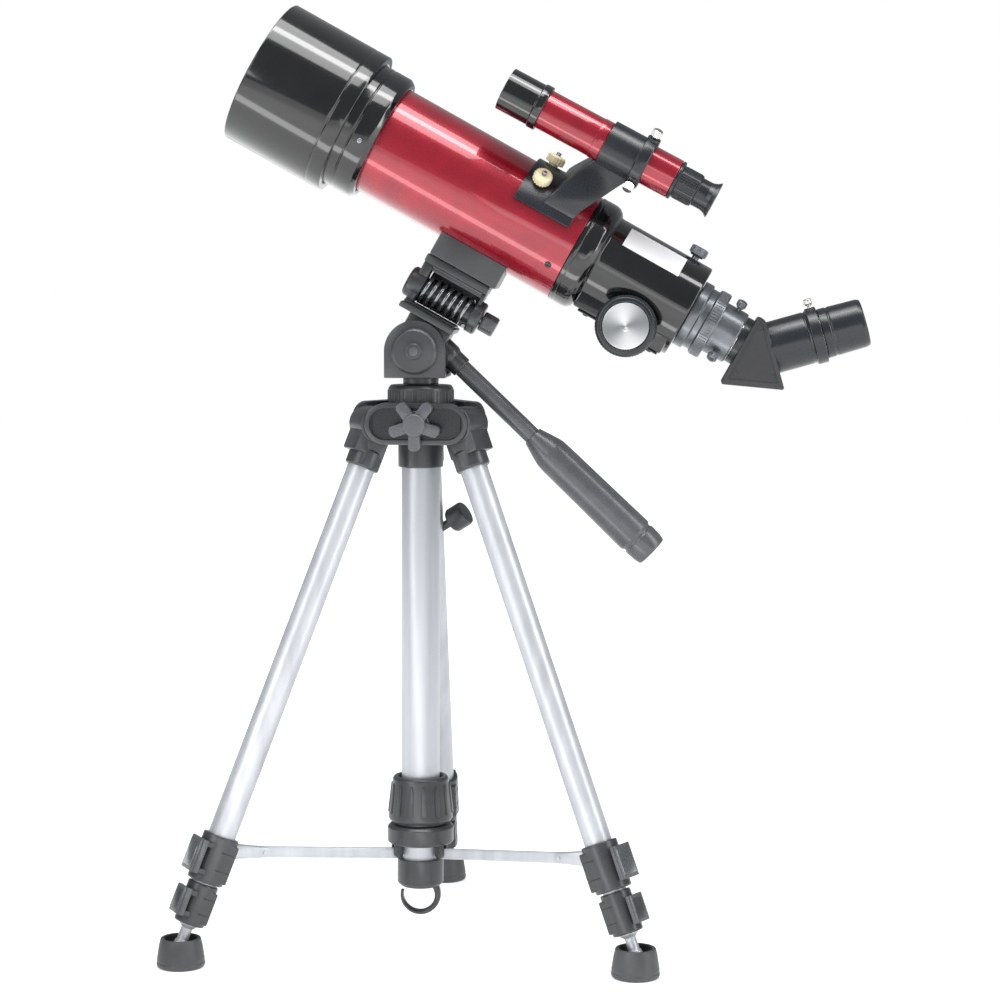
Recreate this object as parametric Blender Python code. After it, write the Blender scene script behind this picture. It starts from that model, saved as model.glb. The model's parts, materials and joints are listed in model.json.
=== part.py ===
"""Small refracting telescope on a collapsed three-section tripod.

Every length below is in millimetres and is turned into metres when a mesh is made.
+Z is up, the telescope lies in the XZ plane and points towards -X, and the rear leg
stands towards +Y.  The origin is the middle of the object's footprint, on the floor.
"""

import math

import bmesh
import bpy
from mathutils import Matrix, Vector

MM = 0.001
GAP = 0.3                     # space left between two pieces that seat on each other
RUN = 0.4                     # space left around a piece that slides or turns

# ---- optical tube, measured along its axis from the back of the objective cell's step
TUBE_R = 37.7
TUBE_WALL = 1.5
TUBE_FRONT = -37.7
TUBE_REAR = 130.0
SHIELD_R = 50.2
SHIELD_WALL = 2.4
SHIELD_FRONT = -112.0
SHIELD_REAR = -39.0
CELL_R = 44.0
CELL_FRONT = -60.0
CELL_REAR = -17.0
APERTURE_R = 35.0
LENS_EDGE = 7.0

# ---- focuser
FLANGE_R = 38.2
FLANGE_LENGTH = 11.0
FOCUSER_R = 32.6
FOCUSER_REAR = 217.0
FOCUSER_CAVITY_R = 29.6
REAR_WALL = 12.0
PINION_S = 185.4
PINION_HOUSING_HALF = 24.0
PINION_SHAFT_R = 2.0
PINION_TEETH = 10
TOOTH_PITCH = 2.262
FOCUS_KNOB_R = 20.5
FOCUS_KNOB_IN = 34.0
FOCUS_KNOB_OUT = 46.0
DRAW_R = 19.0
PINION_DROP = DRAW_R + 8.5      # pinion axis below the main axis
DRAW_BORE_R = 16.3
DRAW_FRONT = 152.0
DRAW_RING_R = DRAW_R + 4.5
DRAW_RING_END = 237.0
NOSE_HOLDER_R = 18.2
NOSE_HOLDER_END = 253.0

# ---- diagonal and eyepiece
EYE_BARREL_R = 15.9
DIAGONAL_BEND = 45.0
BEND_S = 270.6
NOSE_START = 234.0
PRISM_HALF_WIDTH = 17.5
PRISM_WALL = 2.6
HOLDER_R = 17.6
HOLDER_LENGTH = 43.4
EYEPIECE_R = 16.8
EYEPIECE_END = 73.0

# ---- finder
FINDER_ROLL = 26.0            # how far the finder leans round the tube, towards -Y
FINDER_HEIGHT = 77.4          # its axis above the main axis, at FINDER_S
FINDER_S = 90.0
FINDER_SQUINT = 1.2
FINDER_TUBE_R = 13.4
FINDER_SHIELD_R = 14.5
FINDER_FLANGE_R = 15.5
FINDER_FRONT = -49.5
FINDER_SHIELD_LENGTH = 28.8
FINDER_TAIL = 76.0
RING_START = 25.3
RING_LENGTH = 23.2
RING_FLANGE_LENGTH = 8.0
RING_FLANGE_R = 18.0
SADDLE_START = 80.0
SADDLE_LENGTH = 41.0
SADDLE_HALF_ANGLE = 50.0
SADDLE_THICK = 2.6

# ---- clamp between the tube and the tripod head
AXIS_HEIGHT = 111.7           # optical axis above the tilt axis
BALANCE_S = 70.9              # tilt axis behind the front reference, along the tube
BLOCK_LENGTH = 50.0
BLOCK_HALF_WIDTH = 18.0
BLOCK_BOTTOM = -50.0
CLAMP_TOP_THICK = 6.0
CLAMP_HALF_WIDTH = 13.0
SPRING_AXIS = -73.0
SPRING_R = 9.4
SPRING_WIRE_R = 1.1
SPRING_TURNS = 6
CLAMP_FRONT = 42.0
CLAMP_POST_LENGTH = 11.5
CLAMP_REAR = 98.0
CLAMP_NUT_LENGTH = 7.0
CLAMP_ROD_R = 3.0
CLAMP_KNOB_R = 7.0
CLAMP_KNOB_LENGTH = 11.0

# ---- tripod head
ALTITUDE = 29.1               # how far the tube is tipped up
TILT_X = -2.0
TILT_Z = 403.7
PLATFORM_TOP = 25.4
PLATFORM_THICK = 4.0
PLATFORM_HALF_LENGTH = 20.5
PLATFORM_HALF_WIDTH = 21.5
CHEEK_R = 20.6
LUG_R = 15.0
CHEEK_IN = 14.0
CHEEK_OUT = 22.0
FORK_BOTTOM = 385.8
NECK_R = 12.0
PAN_BASE_R = 22.0
PAN_BASE_TOP = 380.7
PAN_BASE_BOTTOM = 367.2
TILT_DISC_R = 15.6
TILT_BOLT_R = 4.5
HANDLE_DROP = 43.7            # slope of the pan handle below level
HANDLE_OFFSET = 12.2          # its line above the tilt axis
HANDLE_ROD_R = 6.0
HANDLE_ROD_START = 8.0
HANDLE_GRIP_START = 95.5
HANDLE_FLARE_END = 112.0
HANDLE_GROOVE = 194.0
HANDLE_END = 208.2
HANDLE_GRIP_R = 12.2
HANDLE_GRIP_END_R = 13.0

# ---- tripod body
COLUMN_R = 11.4
COLUMN_BOTTOM = 120.0
GUIDE_WALL = 1.2
GUIDE_R = COLUMN_R + RUN + GUIDE_WALL
GUIDE_BOTTOM = 52.0
GUIDE_TOP = 350.0
CHASSIS_FACE = 33.0           # distance of each long face from the column axis
CHASSIS_HALF_FACE = 34.6
FACE_INSIDE = 23.5
CHASSIS_BOTTOM = 341.8
CHASSIS_TOP = 366.9
FACE_TOP = 369.6
SLEEVE_R = GUIDE_R + 2.3
SLEEVE_BOTTOM = 325.1
CORE_HALF_FACE = 26.0
CORE_DEPTH = 25.6
NOTCH_R = 19.5
STAR_Z = 355.7
STAR_HUB_R = 7.0
STAR_TIP_R = 17.6
STAR_LOBE_HALF = 3.8
STAR_LOBES = 5
STAR_STEM_R = 3.0
STAR_BOSS_R = 9.0
POCKET_INSET = 3.4
POCKET_DEPTH = 3.0
HUB_NECK_R = GUIDE_R + 4.0
COLLAR_BOTTOM = 82.8
COLLAR_TOP = 113.6
COLLAR_R = 22.3
COLLAR_TOP_R = 19.4
RING_BOTTOM = 67.4
RING_TOP = 80.6
RING_R = 22.6
NECK_TOP = 93.0
HOOK_CAP_R = GUIDE_R + 2.8
HOOK_CAP_TOP = 56.6
HOOK_CAP_BOTTOM = 37.2
HOOK_INNER_R = 10.4
HOOK_Z = 30.6
HOOK_HALF_WIDTH = 4.0

# ---- legs
LEG_AZIMUTHS = {"left": -150.0, "right": -30.0, "rear": 90.0}
LEG_PIVOT_R = 36.0
LEG_PIVOT_Z = 355.0
LEG_SPREAD = 22.56
LEG_OFFSET = -4.1             # leg axis, measured outwards from the pivot
YOKE_R = 12.0
YOKE_HALF_WIDTH = 10.9
YOKE_LENGTH = 30.0
LEG_PIN_R = 2.4
SOCKET_WALL = 2.0
KNUCKLE_R = 2.0
LOCK_STEP = 7.0               # shelf inside the lower lock where its tube ends
UPPER_R = 9.3
LEG_WALL = 0.9
MIDDLE_R = UPPER_R - LEG_WALL - 0.5
LOWER_R = MIDDLE_R - LEG_WALL - 0.6
UPPER_END = 318.0
UPPER_LOCK_START = 291.0
UPPER_LOCK_LENGTH = 32.0
UPPER_LOCK_R = UPPER_R + 2.9
LOWER_LOCK_LENGTH = 28.0
LOWER_LOCK_R = MIDDLE_R + 2.4
MIDDLE_TOP = 60.0
LOWER_TOP = 92.0
BALL_S = 366.5
BALL_R = 5.0
STUD_R = 3.8
FOOT_R = 16.1
FOOT_RIM_R = 13.6
FOOT_HEIGHT = 19.5
FOOT_CUP_R = 10.6
FOOT_CUP_FLOOR = 8.0

# ---- spreader
ARM_PIVOT_R = 17.2
ARM_PIVOT_Z = 61.0
ARM_RISE = 5.9                # how far each arm rises towards its leg
ARM_SPAN = 97.7               # between the arm's two pivots
ARM_HALF_HEIGHT = 3.6
ARM_HALF_THICK = 1.1
ARM_PIN_R = 1.4
EAR_THICK = 1.7

# ---- facets around a round shape, by size
BIG = 26
MID = 20
SMALL = 14
PIN = 8


FINISHES = {
    "red_paint": ((0.36, 0.012, 0.03), 0.2, 0.4),
    "black_paint": ((0.012, 0.011, 0.012), 0.22, 0.0),
    "black_plastic": ((0.03, 0.032, 0.036), 0.35, 0.0),
    "grey_plastic": ((0.075, 0.077, 0.08), 0.5, 0.0),
    "aluminium": ((0.8, 0.81, 0.83), 0.3, 1.0),
    "steel": ((0.55, 0.55, 0.56), 0.25, 1.0),
    "rubber": ((0.09, 0.09, 0.092), 0.7, 0.0),
    "glass": ((0.8, 0.9, 0.85), 0.02, 0.0),
}


# ------------------------------------------------------------------ shape helpers

def clear_scene():
    for item in list(bpy.data.objects):
        bpy.data.objects.remove(item, do_unlink=True)


def finish_material(name):
    """The Principled material for one finish, made once."""
    if name in bpy.data.materials:
        return bpy.data.materials[name]
    colour, roughness, metallic = FINISHES[name]
    material = bpy.data.materials.new(name)
    material.use_nodes = True
    shader = material.node_tree.nodes["Principled BSDF"]
    shader.inputs["Base Color"].default_value = (*colour, 1.0)
    shader.inputs["Roughness"].default_value = roughness
    shader.inputs["Metallic"].default_value = metallic
    return material


def make_object(name, shell, matrix=None):
    """Turn a bmesh in millimetres into an object, faces pointing out."""
    if matrix is not None:
        bmesh.ops.transform(shell, matrix=matrix, verts=shell.verts)
    bmesh.ops.scale(shell, vec=(MM, MM, MM), verts=shell.verts)
    bmesh.ops.recalc_face_normals(shell, faces=shell.faces)
    mesh = bpy.data.meshes.new(name)
    shell.to_mesh(mesh)
    shell.free()
    mesh.shade_smooth()
    mesh.set_sharp_from_angle(angle=math.radians(30))
    item = bpy.data.objects.new(name, mesh)
    bpy.context.scene.collection.objects.link(item)
    return item


def lathe(name, profile, segments=SMALL, matrix=None):
    """Turn a closed (radius, height) outline about Z; radius 0 lies on the axis."""
    shell = bmesh.new()
    rings = []
    for radius, height in profile:
        if radius == 0:
            rings.append([shell.verts.new((0, 0, height))])
            continue
        ring = []
        for step in range(segments):
            angle = 2 * math.pi * step / segments
            ring.append(shell.verts.new((radius * math.cos(angle), radius * math.sin(angle), height)))
        rings.append(ring)
    for index, ring in enumerate(rings):
        following = rings[(index + 1) % len(rings)]
        if len(ring) == 1 and len(following) == 1:
            continue
        for step in range(segments):
            after = (step + 1) % segments
            corners = [ring[step % len(ring)], ring[after % len(ring)],
                       following[after % len(following)], following[step % len(following)]]
            unique = list(dict.fromkeys(corners))
            shell.faces.new(unique)
    return make_object(name, shell, matrix)


def tube(name, outer, inner, low, high, segments=SMALL, matrix=None):
    return lathe(name, [(outer, low), (outer, high), (inner, high), (inner, low)], segments, matrix)


def rod(name, radius, low, high, segments=SMALL, matrix=None):
    return lathe(name, [(0, low), (radius, low), (radius, high), (0, high)], segments, matrix)


def block(name, low, high, matrix=None):
    """A box between two corners."""
    shell = bmesh.new()
    bmesh.ops.create_cube(shell, size=1.0)
    size = [b - a for a, b in zip(low, high)]
    middle = [(a + b) / 2 for a, b in zip(low, high)]
    bmesh.ops.transform(shell, matrix=Matrix.Translation(middle) @ Matrix.Diagonal((*size, 1.0)),
                        verts=shell.verts)
    return make_object(name, shell, matrix)


def plate(name, outline, low, high, matrix=None):
    """Extrude a closed (x, z) outline along Y."""
    shell = bmesh.new()
    near = [shell.verts.new((x, low, z)) for x, z in outline]
    far = [shell.verts.new((x, high, z)) for x, z in outline]
    shell.faces.new(near)
    shell.faces.new(list(reversed(far)))
    for index in range(len(outline)):
        after = (index + 1) % len(outline)
        shell.faces.new([near[index], near[after], far[after], far[index]])
    return make_object(name, shell, matrix)


def prism(name, outline, low, high):
    """Extrude a closed (x, y) outline up Z."""
    shell = bmesh.new()
    near = [shell.verts.new((x, y, low)) for x, y in outline]
    far = [shell.verts.new((x, y, high)) for x, y in outline]
    shell.faces.new(list(reversed(near)))
    shell.faces.new(far)
    for index in range(len(outline)):
        after = (index + 1) % len(outline)
        shell.faces.new([near[index], near[after], far[after], far[index]])
    return make_object(name, shell)


def arc(centre, radius, start, end, steps):
    """Points on a circle from one angle to another, in degrees."""
    points = []
    for step in range(steps + 1):
        angle = math.radians(start + (end - start) * step / steps)
        points.append((centre[0] + radius * math.cos(angle), centre[1] + radius * math.sin(angle)))
    return points


def obround(half_length, radius, centre_z=0.0, steps=6):
    """A rectangle with fully round ends, lying along X."""
    reach = half_length - radius
    return (arc((reach, centre_z), radius, -90, 90, steps)
            + arc((-reach, centre_z), radius, 90, 270, steps))


def weld_seams(mesh):
    """Merge points a thousandth of a millimetre apart, left where two shapes' faces meet."""
    shell = bmesh.new()
    shell.from_mesh(mesh)
    bmesh.ops.remove_doubles(shell, verts=shell.verts, dist=0.001 * MM)
    shell.to_mesh(mesh)
    shell.free()


def boolean(body, operation, *tools):
    """Join or cut a body with its tools, then remove the tools."""
    for tool in tools:
        step = body.modifiers.new(operation.lower(), "BOOLEAN")
        step.operation = operation
        step.solver = "EXACT"
        step.object = tool
        bpy.context.view_layer.update()
        depsgraph = bpy.context.evaluated_depsgraph_get()
        result = bpy.data.meshes.new_from_object(body.evaluated_get(depsgraph))
        body.modifiers.clear()
        body.data = result
        bpy.data.objects.remove(tool, do_unlink=True)
        weld_seams(result)
    result = body.data
    result.name = body.name
    result.shade_smooth()
    result.set_sharp_from_angle(angle=math.radians(30))
    return body


def join(body, *tools):
    return boolean(body, "UNION", *tools)


def cut(body, *tools):
    return boolean(body, "DIFFERENCE", *tools)


def empty(name, parent=None, location=(0, 0, 0), rotation=(0, 0, 0)):
    """A frame to hang pieces on; location in millimetres, rotation in degrees."""
    frame = bpy.data.objects.new(name, None)
    bpy.context.scene.collection.objects.link(frame)
    frame.parent = parent
    frame.location = Vector(location) * MM
    frame.rotation_euler = [math.radians(angle) for angle in rotation]
    return frame


def hang(item, finish, parent, pivot=(0, 0, 0)):
    """Give a piece its finish and parent, with its own origin at the pivot."""
    offset = Vector(pivot) * MM
    item.data.transform(Matrix.Translation(-offset))
    item.location = offset
    item.parent = parent
    item.data.materials.clear()
    item.data.materials.append(finish_material(finish))
    return item


ALONG_X = Matrix.Rotation(math.radians(90), 4, "Y")
ALONG_Y = Matrix.Rotation(math.radians(-90), 4, "X")


# ------------------------------------------------------------------ optical tube

def build_tube(optics):
    shield = lathe("dew_shield", [
        (SHIELD_R - SHIELD_WALL, SHIELD_FRONT), (SHIELD_R - 0.8, SHIELD_FRONT), (SHIELD_R, SHIELD_FRONT + 1.2),
        (SHIELD_R, SHIELD_REAR - 1.0), (SHIELD_R - 1.0, SHIELD_REAR),
        (CELL_R + GAP, SHIELD_REAR), (CELL_R + GAP, SHIELD_REAR - 2.4),
        (SHIELD_R - SHIELD_WALL, SHIELD_REAR - 2.4)], BIG, ALONG_X)
    hang(shield, "black_paint", optics)

    seat_r = APERTURE_R + 3.2
    front_r = SHIELD_R - SHIELD_WALL - GAP
    lens_front = CELL_FRONT + 8.0
    lens_back = lens_front + LENS_EDGE
    cell = lathe("objective_cell", [
        (front_r - 1.5, CELL_FRONT), (front_r, CELL_FRONT + 1.5), (front_r, SHIELD_REAR - 2.4 - GAP),
        (CELL_R, SHIELD_REAR - 2.4 - GAP), (CELL_R, CELL_REAR - 2.5), (CELL_R - 2.5, CELL_REAR),
        (TUBE_R + GAP, CELL_REAR), (TUBE_R + GAP, TUBE_FRONT - GAP), (APERTURE_R, TUBE_FRONT - GAP),
        (APERTURE_R, lens_back + GAP), (seat_r, lens_back + GAP), (seat_r, CELL_FRONT)], BIG, ALONG_X)
    hang(cell, "black_paint", optics)

    lens_r = seat_r - GAP
    dome = 2.6
    front_arc = [(lens_r * step / 4, lens_front - dome * (1 - (step / 4) ** 2)) for step in range(5)]
    back_arc = [(lens_r * step / 4, lens_back - 1.2 * (step / 4) ** 2) for step in range(4, -1, -1)]
    lens = lathe("objective_lens", front_arc + back_arc, BIG, ALONG_X)
    hang(lens, "glass", optics)

    main = tube("main_tube", TUBE_R, TUBE_R - TUBE_WALL, TUBE_FRONT, TUBE_REAR, BIG, ALONG_X)
    hang(main, "red_paint", optics)

    saddle = block("tube_block", (BALANCE_S + 1.5 - BLOCK_LENGTH / 2, -BLOCK_HALF_WIDTH, BLOCK_BOTTOM),
                   (BALANCE_S + 1.5 + BLOCK_LENGTH / 2, BLOCK_HALF_WIDTH, -TUBE_R * 0.8))
    cut(saddle, rod("tube_space", TUBE_R + GAP, 0, TUBE_REAR, BIG, ALONG_X))
    hang(saddle, "grey_plastic", optics)


def thin_tooth_gear(name, teeth, pitch, low, high):
    """A pinion with thin pointed teeth, turned about Y."""
    pitch_r = teeth * pitch / (2 * math.pi)
    root_r = pitch_r - 0.55
    tip_r = pitch_r + 0.45
    outline = []
    for tooth in range(teeth):
        middle = 360.0 * tooth / teeth + 90.0
        for radius, turn in ((root_r, -8.0), (tip_r, -2.5), (tip_r, 2.5), (root_r, 8.0)):
            angle = math.radians(middle + turn)
            outline.append((radius * math.cos(angle), radius * math.sin(angle)))
    return plate(name, outline, low, high)


def build_focuser(optics):
    """Focuser body, its drawtube with a rack, and the knobs on the pinion shaft."""
    pitch_r = PINION_TEETH * TOOTH_PITCH / (2 * math.pi)
    flange_end = TUBE_REAR + GAP + FLANGE_LENGTH
    shoulder = FLANGE_R - FOCUSER_R
    spigot_r = TUBE_R - TUBE_WALL - GAP
    bore_r = DRAW_R + RUN
    body = lathe("focuser_body", [
        (FOCUSER_CAVITY_R, TUBE_REAR - 13), (spigot_r, TUBE_REAR - 13), (spigot_r, TUBE_REAR + GAP),
        (FLANGE_R, TUBE_REAR + GAP), (FLANGE_R, flange_end), (FLANGE_R - 0.9, flange_end + 0.4 * shoulder),
        (FLANGE_R - 2.6, flange_end + 0.8 * shoulder), (FOCUSER_R, flange_end + 1.1 * shoulder),
        (FOCUSER_R, FOCUSER_REAR - 0.8), (FOCUSER_R - 0.8, FOCUSER_REAR), (bore_r, FOCUSER_REAR),
        (bore_r, FOCUSER_REAR - REAR_WALL), (FOCUSER_CAVITY_R, FOCUSER_REAR - REAR_WALL)], BIG, ALONG_X)
    housing = block("pinion_housing", (flange_end + 6, -PINION_HOUSING_HALF, -PINION_DROP - 5.8),
                    (FOCUSER_REAR - 3, PINION_HOUSING_HALF, -PINION_DROP + 7.0))
    join(body, housing)
    cavity = rod("cavity", FOCUSER_CAVITY_R, TUBE_REAR - 5, FOCUSER_REAR - REAR_WALL, BIG, ALONG_X)
    rack_slot = block("rack_slot", (FOCUSER_REAR - REAR_WALL - 2, -4.6, -PINION_DROP + 2.4),
                      (FOCUSER_REAR + 2, 4.6, 0))
    centre = Matrix.Translation((PINION_S, 0, -PINION_DROP))
    shaft_hole = rod("shaft_hole", PINION_SHAFT_R + RUN, -60, 60, PIN, centre @ ALONG_Y)
    pocket = rod("pinion_pocket", pitch_r + 1.2, -7, 7, SMALL, centre @ ALONG_Y)
    cut(body, cavity, rack_slot, shaft_hole, pocket)
    hang(body, "black_paint", optics)

    nose_end = NOSE_HOLDER_END
    ring_start = FOCUSER_REAR + RUN
    drawtube = lathe("drawtube", [
        (DRAW_BORE_R, DRAW_FRONT), (DRAW_R, DRAW_FRONT), (DRAW_R, ring_start), (DRAW_RING_R, ring_start),
        (DRAW_RING_R, ring_start + 6.6), (DRAW_RING_R - 1.8, ring_start + 7.4),
        (DRAW_RING_R - 1.8, ring_start + 11.4), (DRAW_RING_R, ring_start + 12.2),
        (DRAW_RING_R, DRAW_RING_END), (NOSE_HOLDER_R, DRAW_RING_END), (NOSE_HOLDER_R, nose_end),
        (DRAW_BORE_R, nose_end)], MID, ALONG_X)
    rack_low = -PINION_DROP + pitch_r
    teeth_start = DRAW_FRONT + 6
    teeth_count = int((FOCUSER_REAR - 4 - teeth_start) / TOOTH_PITCH)
    phase = (PINION_S + TOOTH_PITCH / 2 - teeth_start) % TOOTH_PITCH
    outline = [(teeth_start, -DRAW_R + 0.8), (teeth_start, rack_low + 0.6)]
    for tooth in range(teeth_count):
        middle = teeth_start + phase + tooth * TOOTH_PITCH
        outline += [(middle - 0.35, rack_low + 0.6), (middle, rack_low - 0.35), (middle + 0.35, rack_low + 0.6)]
    outline += [(FOCUSER_REAR - 3, rack_low + 0.6), (FOCUSER_REAR - 3, -DRAW_R + 0.8)]
    join(drawtube, plate("rack", outline, -4.0, 4.0))
    hang(drawtube, "black_plastic", optics)

    shaft_low = FOCUS_KNOB_IN
    knob = lathe("focus_knobs", [
        (0, -FOCUS_KNOB_OUT), (FOCUS_KNOB_R - 3.2, -FOCUS_KNOB_OUT), (FOCUS_KNOB_R, -FOCUS_KNOB_OUT + 3),
        (FOCUS_KNOB_R, -shaft_low), (PINION_SHAFT_R, -shaft_low),
        (PINION_SHAFT_R, shaft_low), (FOCUS_KNOB_R, shaft_low),
        (FOCUS_KNOB_R, FOCUS_KNOB_OUT - 3), (FOCUS_KNOB_R - 3.2, FOCUS_KNOB_OUT), (0, FOCUS_KNOB_OUT)],
        MID, ALONG_Y)
    join(knob, thin_tooth_gear("pinion", PINION_TEETH, TOOTH_PITCH, -5.0, 5.0))
    axle = empty("focus_axis", optics, (PINION_S, 0, -PINION_DROP))
    hang(knob, "black_plastic", axle)


def build_diagonal(optics):
    """The prism housing with its nose, and the eyepiece in its holder."""
    frame = empty("diagonal_axis", optics, (BEND_S, 0, 0))
    reach = 9.5
    face_sum = reach * math.sqrt(2)
    left = NOSE_HOLDER_END + 5.5 - BEND_S
    top = 20.4
    outline = [(left, -31.0), (27.0, face_sum - 27.0), (face_sum - top, top), (left, top)]
    body = plate("diagonal_housing", outline, -PRISM_HALF_WIDTH, PRISM_HALF_WIDTH)
    nose = rod("nose", EYE_BARREL_R, NOSE_START - BEND_S, left + 1.0, MID, ALONG_X)
    collar = rod("collar", EYE_BARREL_R + 0.9, NOSE_HOLDER_END + 1.0 - BEND_S, left + 1.0, MID, ALONG_X)
    tip = Matrix.Rotation(math.radians(90 - DIAGONAL_BEND), 4, "Y")
    holder = lathe("holder", [
        (EYE_BARREL_R + GAP, reach - 1), (HOLDER_R, reach - 1), (HOLDER_R, HOLDER_LENGTH - 7.6),
        (HOLDER_R + 1.5, HOLDER_LENGTH - 7.0), (HOLDER_R + 1.5, HOLDER_LENGTH),
        (EYE_BARREL_R + GAP, HOLDER_LENGTH)], SMALL, tip)
    join(body, nose, collar, holder)
    inset = PRISM_WALL
    hollow = plate("hollow", [
        (left + inset, -31.0 + 2.2 * inset), (27.0 - 2.1 * inset, face_sum - 27.0 + 0.9 * inset),
        (face_sum - top - 0.6 * inset, top - inset), (left + inset, top - inset)],
        -PRISM_HALF_WIDTH + inset, PRISM_HALF_WIDTH - inset)
    entry = rod("entry", EYE_BARREL_R - 1.6, NOSE_START - 1 - BEND_S, 0, MID, ALONG_X)
    leave = rod("leave", EYE_BARREL_R - 2.6, 0, reach + 3, SMALL, tip)
    cut(body, hollow, entry, leave)
    hang(body, "black_plastic", frame)

    eye_frame = empty("eyepiece_axis", frame, (0, 0, 0), (0, 90 - DIAGONAL_BEND, 0))
    eyepiece = lathe("eyepiece", [
        (EYE_BARREL_R - 1.2, 14), (EYE_BARREL_R, 14), (EYE_BARREL_R, HOLDER_LENGTH + GAP),
        (EYEPIECE_R, HOLDER_LENGTH + GAP), (EYEPIECE_R, HOLDER_LENGTH + 6), (EYEPIECE_R - 0.5, EYEPIECE_END - 3),
        (EYEPIECE_R - 1.4, EYEPIECE_END - 0.6), (EYEPIECE_R - 3.0, EYEPIECE_END), (9.0, EYEPIECE_END - 4),
        (0, EYEPIECE_END - 4), (0, EYEPIECE_END - 14), (EYE_BARREL_R - 1.2, EYEPIECE_END - 18)], SMALL)
    hang(eyepiece, "black_plastic", eye_frame)


def build_finder(optics):
    """Finder scope and the bracket that carries it, leaning round the tube."""
    roll = empty("finder_roll", optics, (0, 0, 0), (FINDER_ROLL, 0, 0))
    aim = empty("finder_aim", roll, (FINDER_S, 0, FINDER_HEIGHT), (0, -FINDER_SQUINT, 0))

    shield_end = FINDER_FRONT + FINDER_SHIELD_LENGTH
    shield = lathe("finder_shield", [
        (FINDER_SHIELD_R - 1.4, FINDER_FRONT), (FINDER_SHIELD_R, FINDER_FRONT), (FINDER_SHIELD_R, shield_end - 5.6),
        (FINDER_FLANGE_R, shield_end - 5.0), (FINDER_FLANGE_R, shield_end), (FINDER_TUBE_R + GAP, shield_end),
        (FINDER_TUBE_R + GAP, shield_end - 6), (FINDER_SHIELD_R - 3.4, shield_end - 6),
        (FINDER_SHIELD_R - 3.4, shield_end - 8), (FINDER_SHIELD_R - 1.4, shield_end - 8)], SMALL, ALONG_X)
    hang(shield, "black_plastic", aim)

    body = tube("finder_tube", FINDER_TUBE_R, FINDER_TUBE_R - 1.2, shield_end - 6 + GAP, FINDER_TAIL, SMALL, ALONG_X)
    hang(body, "red_paint", aim)

    tail = FINDER_TAIL + GAP
    spigot_r = FINDER_TUBE_R - 1.2 - GAP
    eye = lathe("finder_eyepiece", [
        (5.0, tail - 14), (spigot_r, tail - 14), (spigot_r, tail), (FINDER_TUBE_R, tail), (FINDER_TUBE_R, tail + 2),
        (11.1, tail + 2.6), (10.9, tail + 16), (9.7, tail + 16.6), (9.7, tail + 23.5), (12.8, tail + 29),
        (11.6, tail + 29.3), (5.0, tail + 24)], SMALL, ALONG_X)
    hang(eye, "black_plastic", aim)

    saddle_r = TUBE_R + GAP
    angles = arc((0, 0), saddle_r + SADDLE_THICK, 90 - SADDLE_HALF_ANGLE, 90 + SADDLE_HALF_ANGLE, 10)
    inner = arc((0, 0), saddle_r, 90 + SADDLE_HALF_ANGLE, 90 - SADDLE_HALF_ANGLE, 10)
    turn = Matrix.Rotation(math.radians(90), 4, "Z")
    bracket = plate("finder_bracket", angles + inner, -SADDLE_START - SADDLE_LENGTH, -SADDLE_START, turn)
    ring_low = FINDER_S + RING_START
    ring_high = ring_low + RING_LENGTH + RING_FLANGE_LENGTH
    stalk = bmesh.new()
    base = [(SADDLE_START + 18, -27), (SADDLE_START + 40, -27), (SADDLE_START + 40, 27), (SADDLE_START + 18, 27)]
    crown = [(ring_low - 1, -9), (ring_high - 5, -9), (ring_high - 5, 9), (ring_low - 1, 9)]
    low_ring = [stalk.verts.new((x, y, 28.5)) for x, y in base]
    high_ring = [stalk.verts.new((x, y, FINDER_HEIGHT - 9)) for x, y in crown]
    stalk.faces.new(low_ring)
    stalk.faces.new(list(reversed(high_ring)))
    for index in range(4):
        after = (index + 1) % 4
        stalk.faces.new([low_ring[index], low_ring[after], high_ring[after], high_ring[index]])
    stalk_piece = make_object("stalk", stalk)
    axis = Matrix.Translation((FINDER_S, 0, FINDER_HEIGHT)) @ Matrix.Rotation(math.radians(-FINDER_SQUINT), 4, "Y")
    ring = lathe("ring", [
        (6.0, RING_START), (15.5, RING_START), (15.5, RING_START + RING_LENGTH),
        (RING_FLANGE_R, RING_START + RING_LENGTH + 0.6), (RING_FLANGE_R, RING_START + RING_LENGTH + 7.4),
        (RING_FLANGE_R - 0.8, RING_START + RING_LENGTH + RING_FLANGE_LENGTH),
        (6.0, RING_START + RING_LENGTH + RING_FLANGE_LENGTH)], SMALL, axis @ ALONG_X)
    join(bracket, stalk_piece, ring)
    bore = rod("ring_bore", FINDER_TUBE_R + 0.9, RING_START - 30, RING_START + 60, SMALL, axis @ ALONG_X)
    tube_space = rod("tube_space", saddle_r, 40, 140, BIG, ALONG_X)
    cut(bracket, bore, tube_space)
    hang(bracket, "black_plastic", roll)


# ------------------------------------------------------------------ clamp and head

def coil(name, radius, wire_r, turns, low, high, sides=5, per_turn=10):
    """A round-wire spring along Z as one closed tube."""
    shell = bmesh.new()
    rings = []
    count = turns * per_turn
    rise = (high - low - 2 * wire_r) / count
    for step in range(count + 1):
        angle = 2 * math.pi * step / per_turn
        out = Vector((math.cos(angle), math.sin(angle), 0))
        centre = out * radius + Vector((0, 0, low + wire_r + rise * step))
        ring = []
        for side in range(sides):
            turn = 2 * math.pi * side / sides
            ring.append(shell.verts.new(centre + out * (wire_r * math.cos(turn))
                                        + Vector((0, 0, wire_r * math.sin(turn)))))
        rings.append(ring)
    shell.faces.new(rings[0])
    shell.faces.new(list(reversed(rings[-1])))
    for first, second in zip(rings, rings[1:]):
        for side in range(sides):
            after = (side + 1) % sides
            shell.faces.new([first[side], first[after], second[after], second[side]])
    return shell


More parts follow.
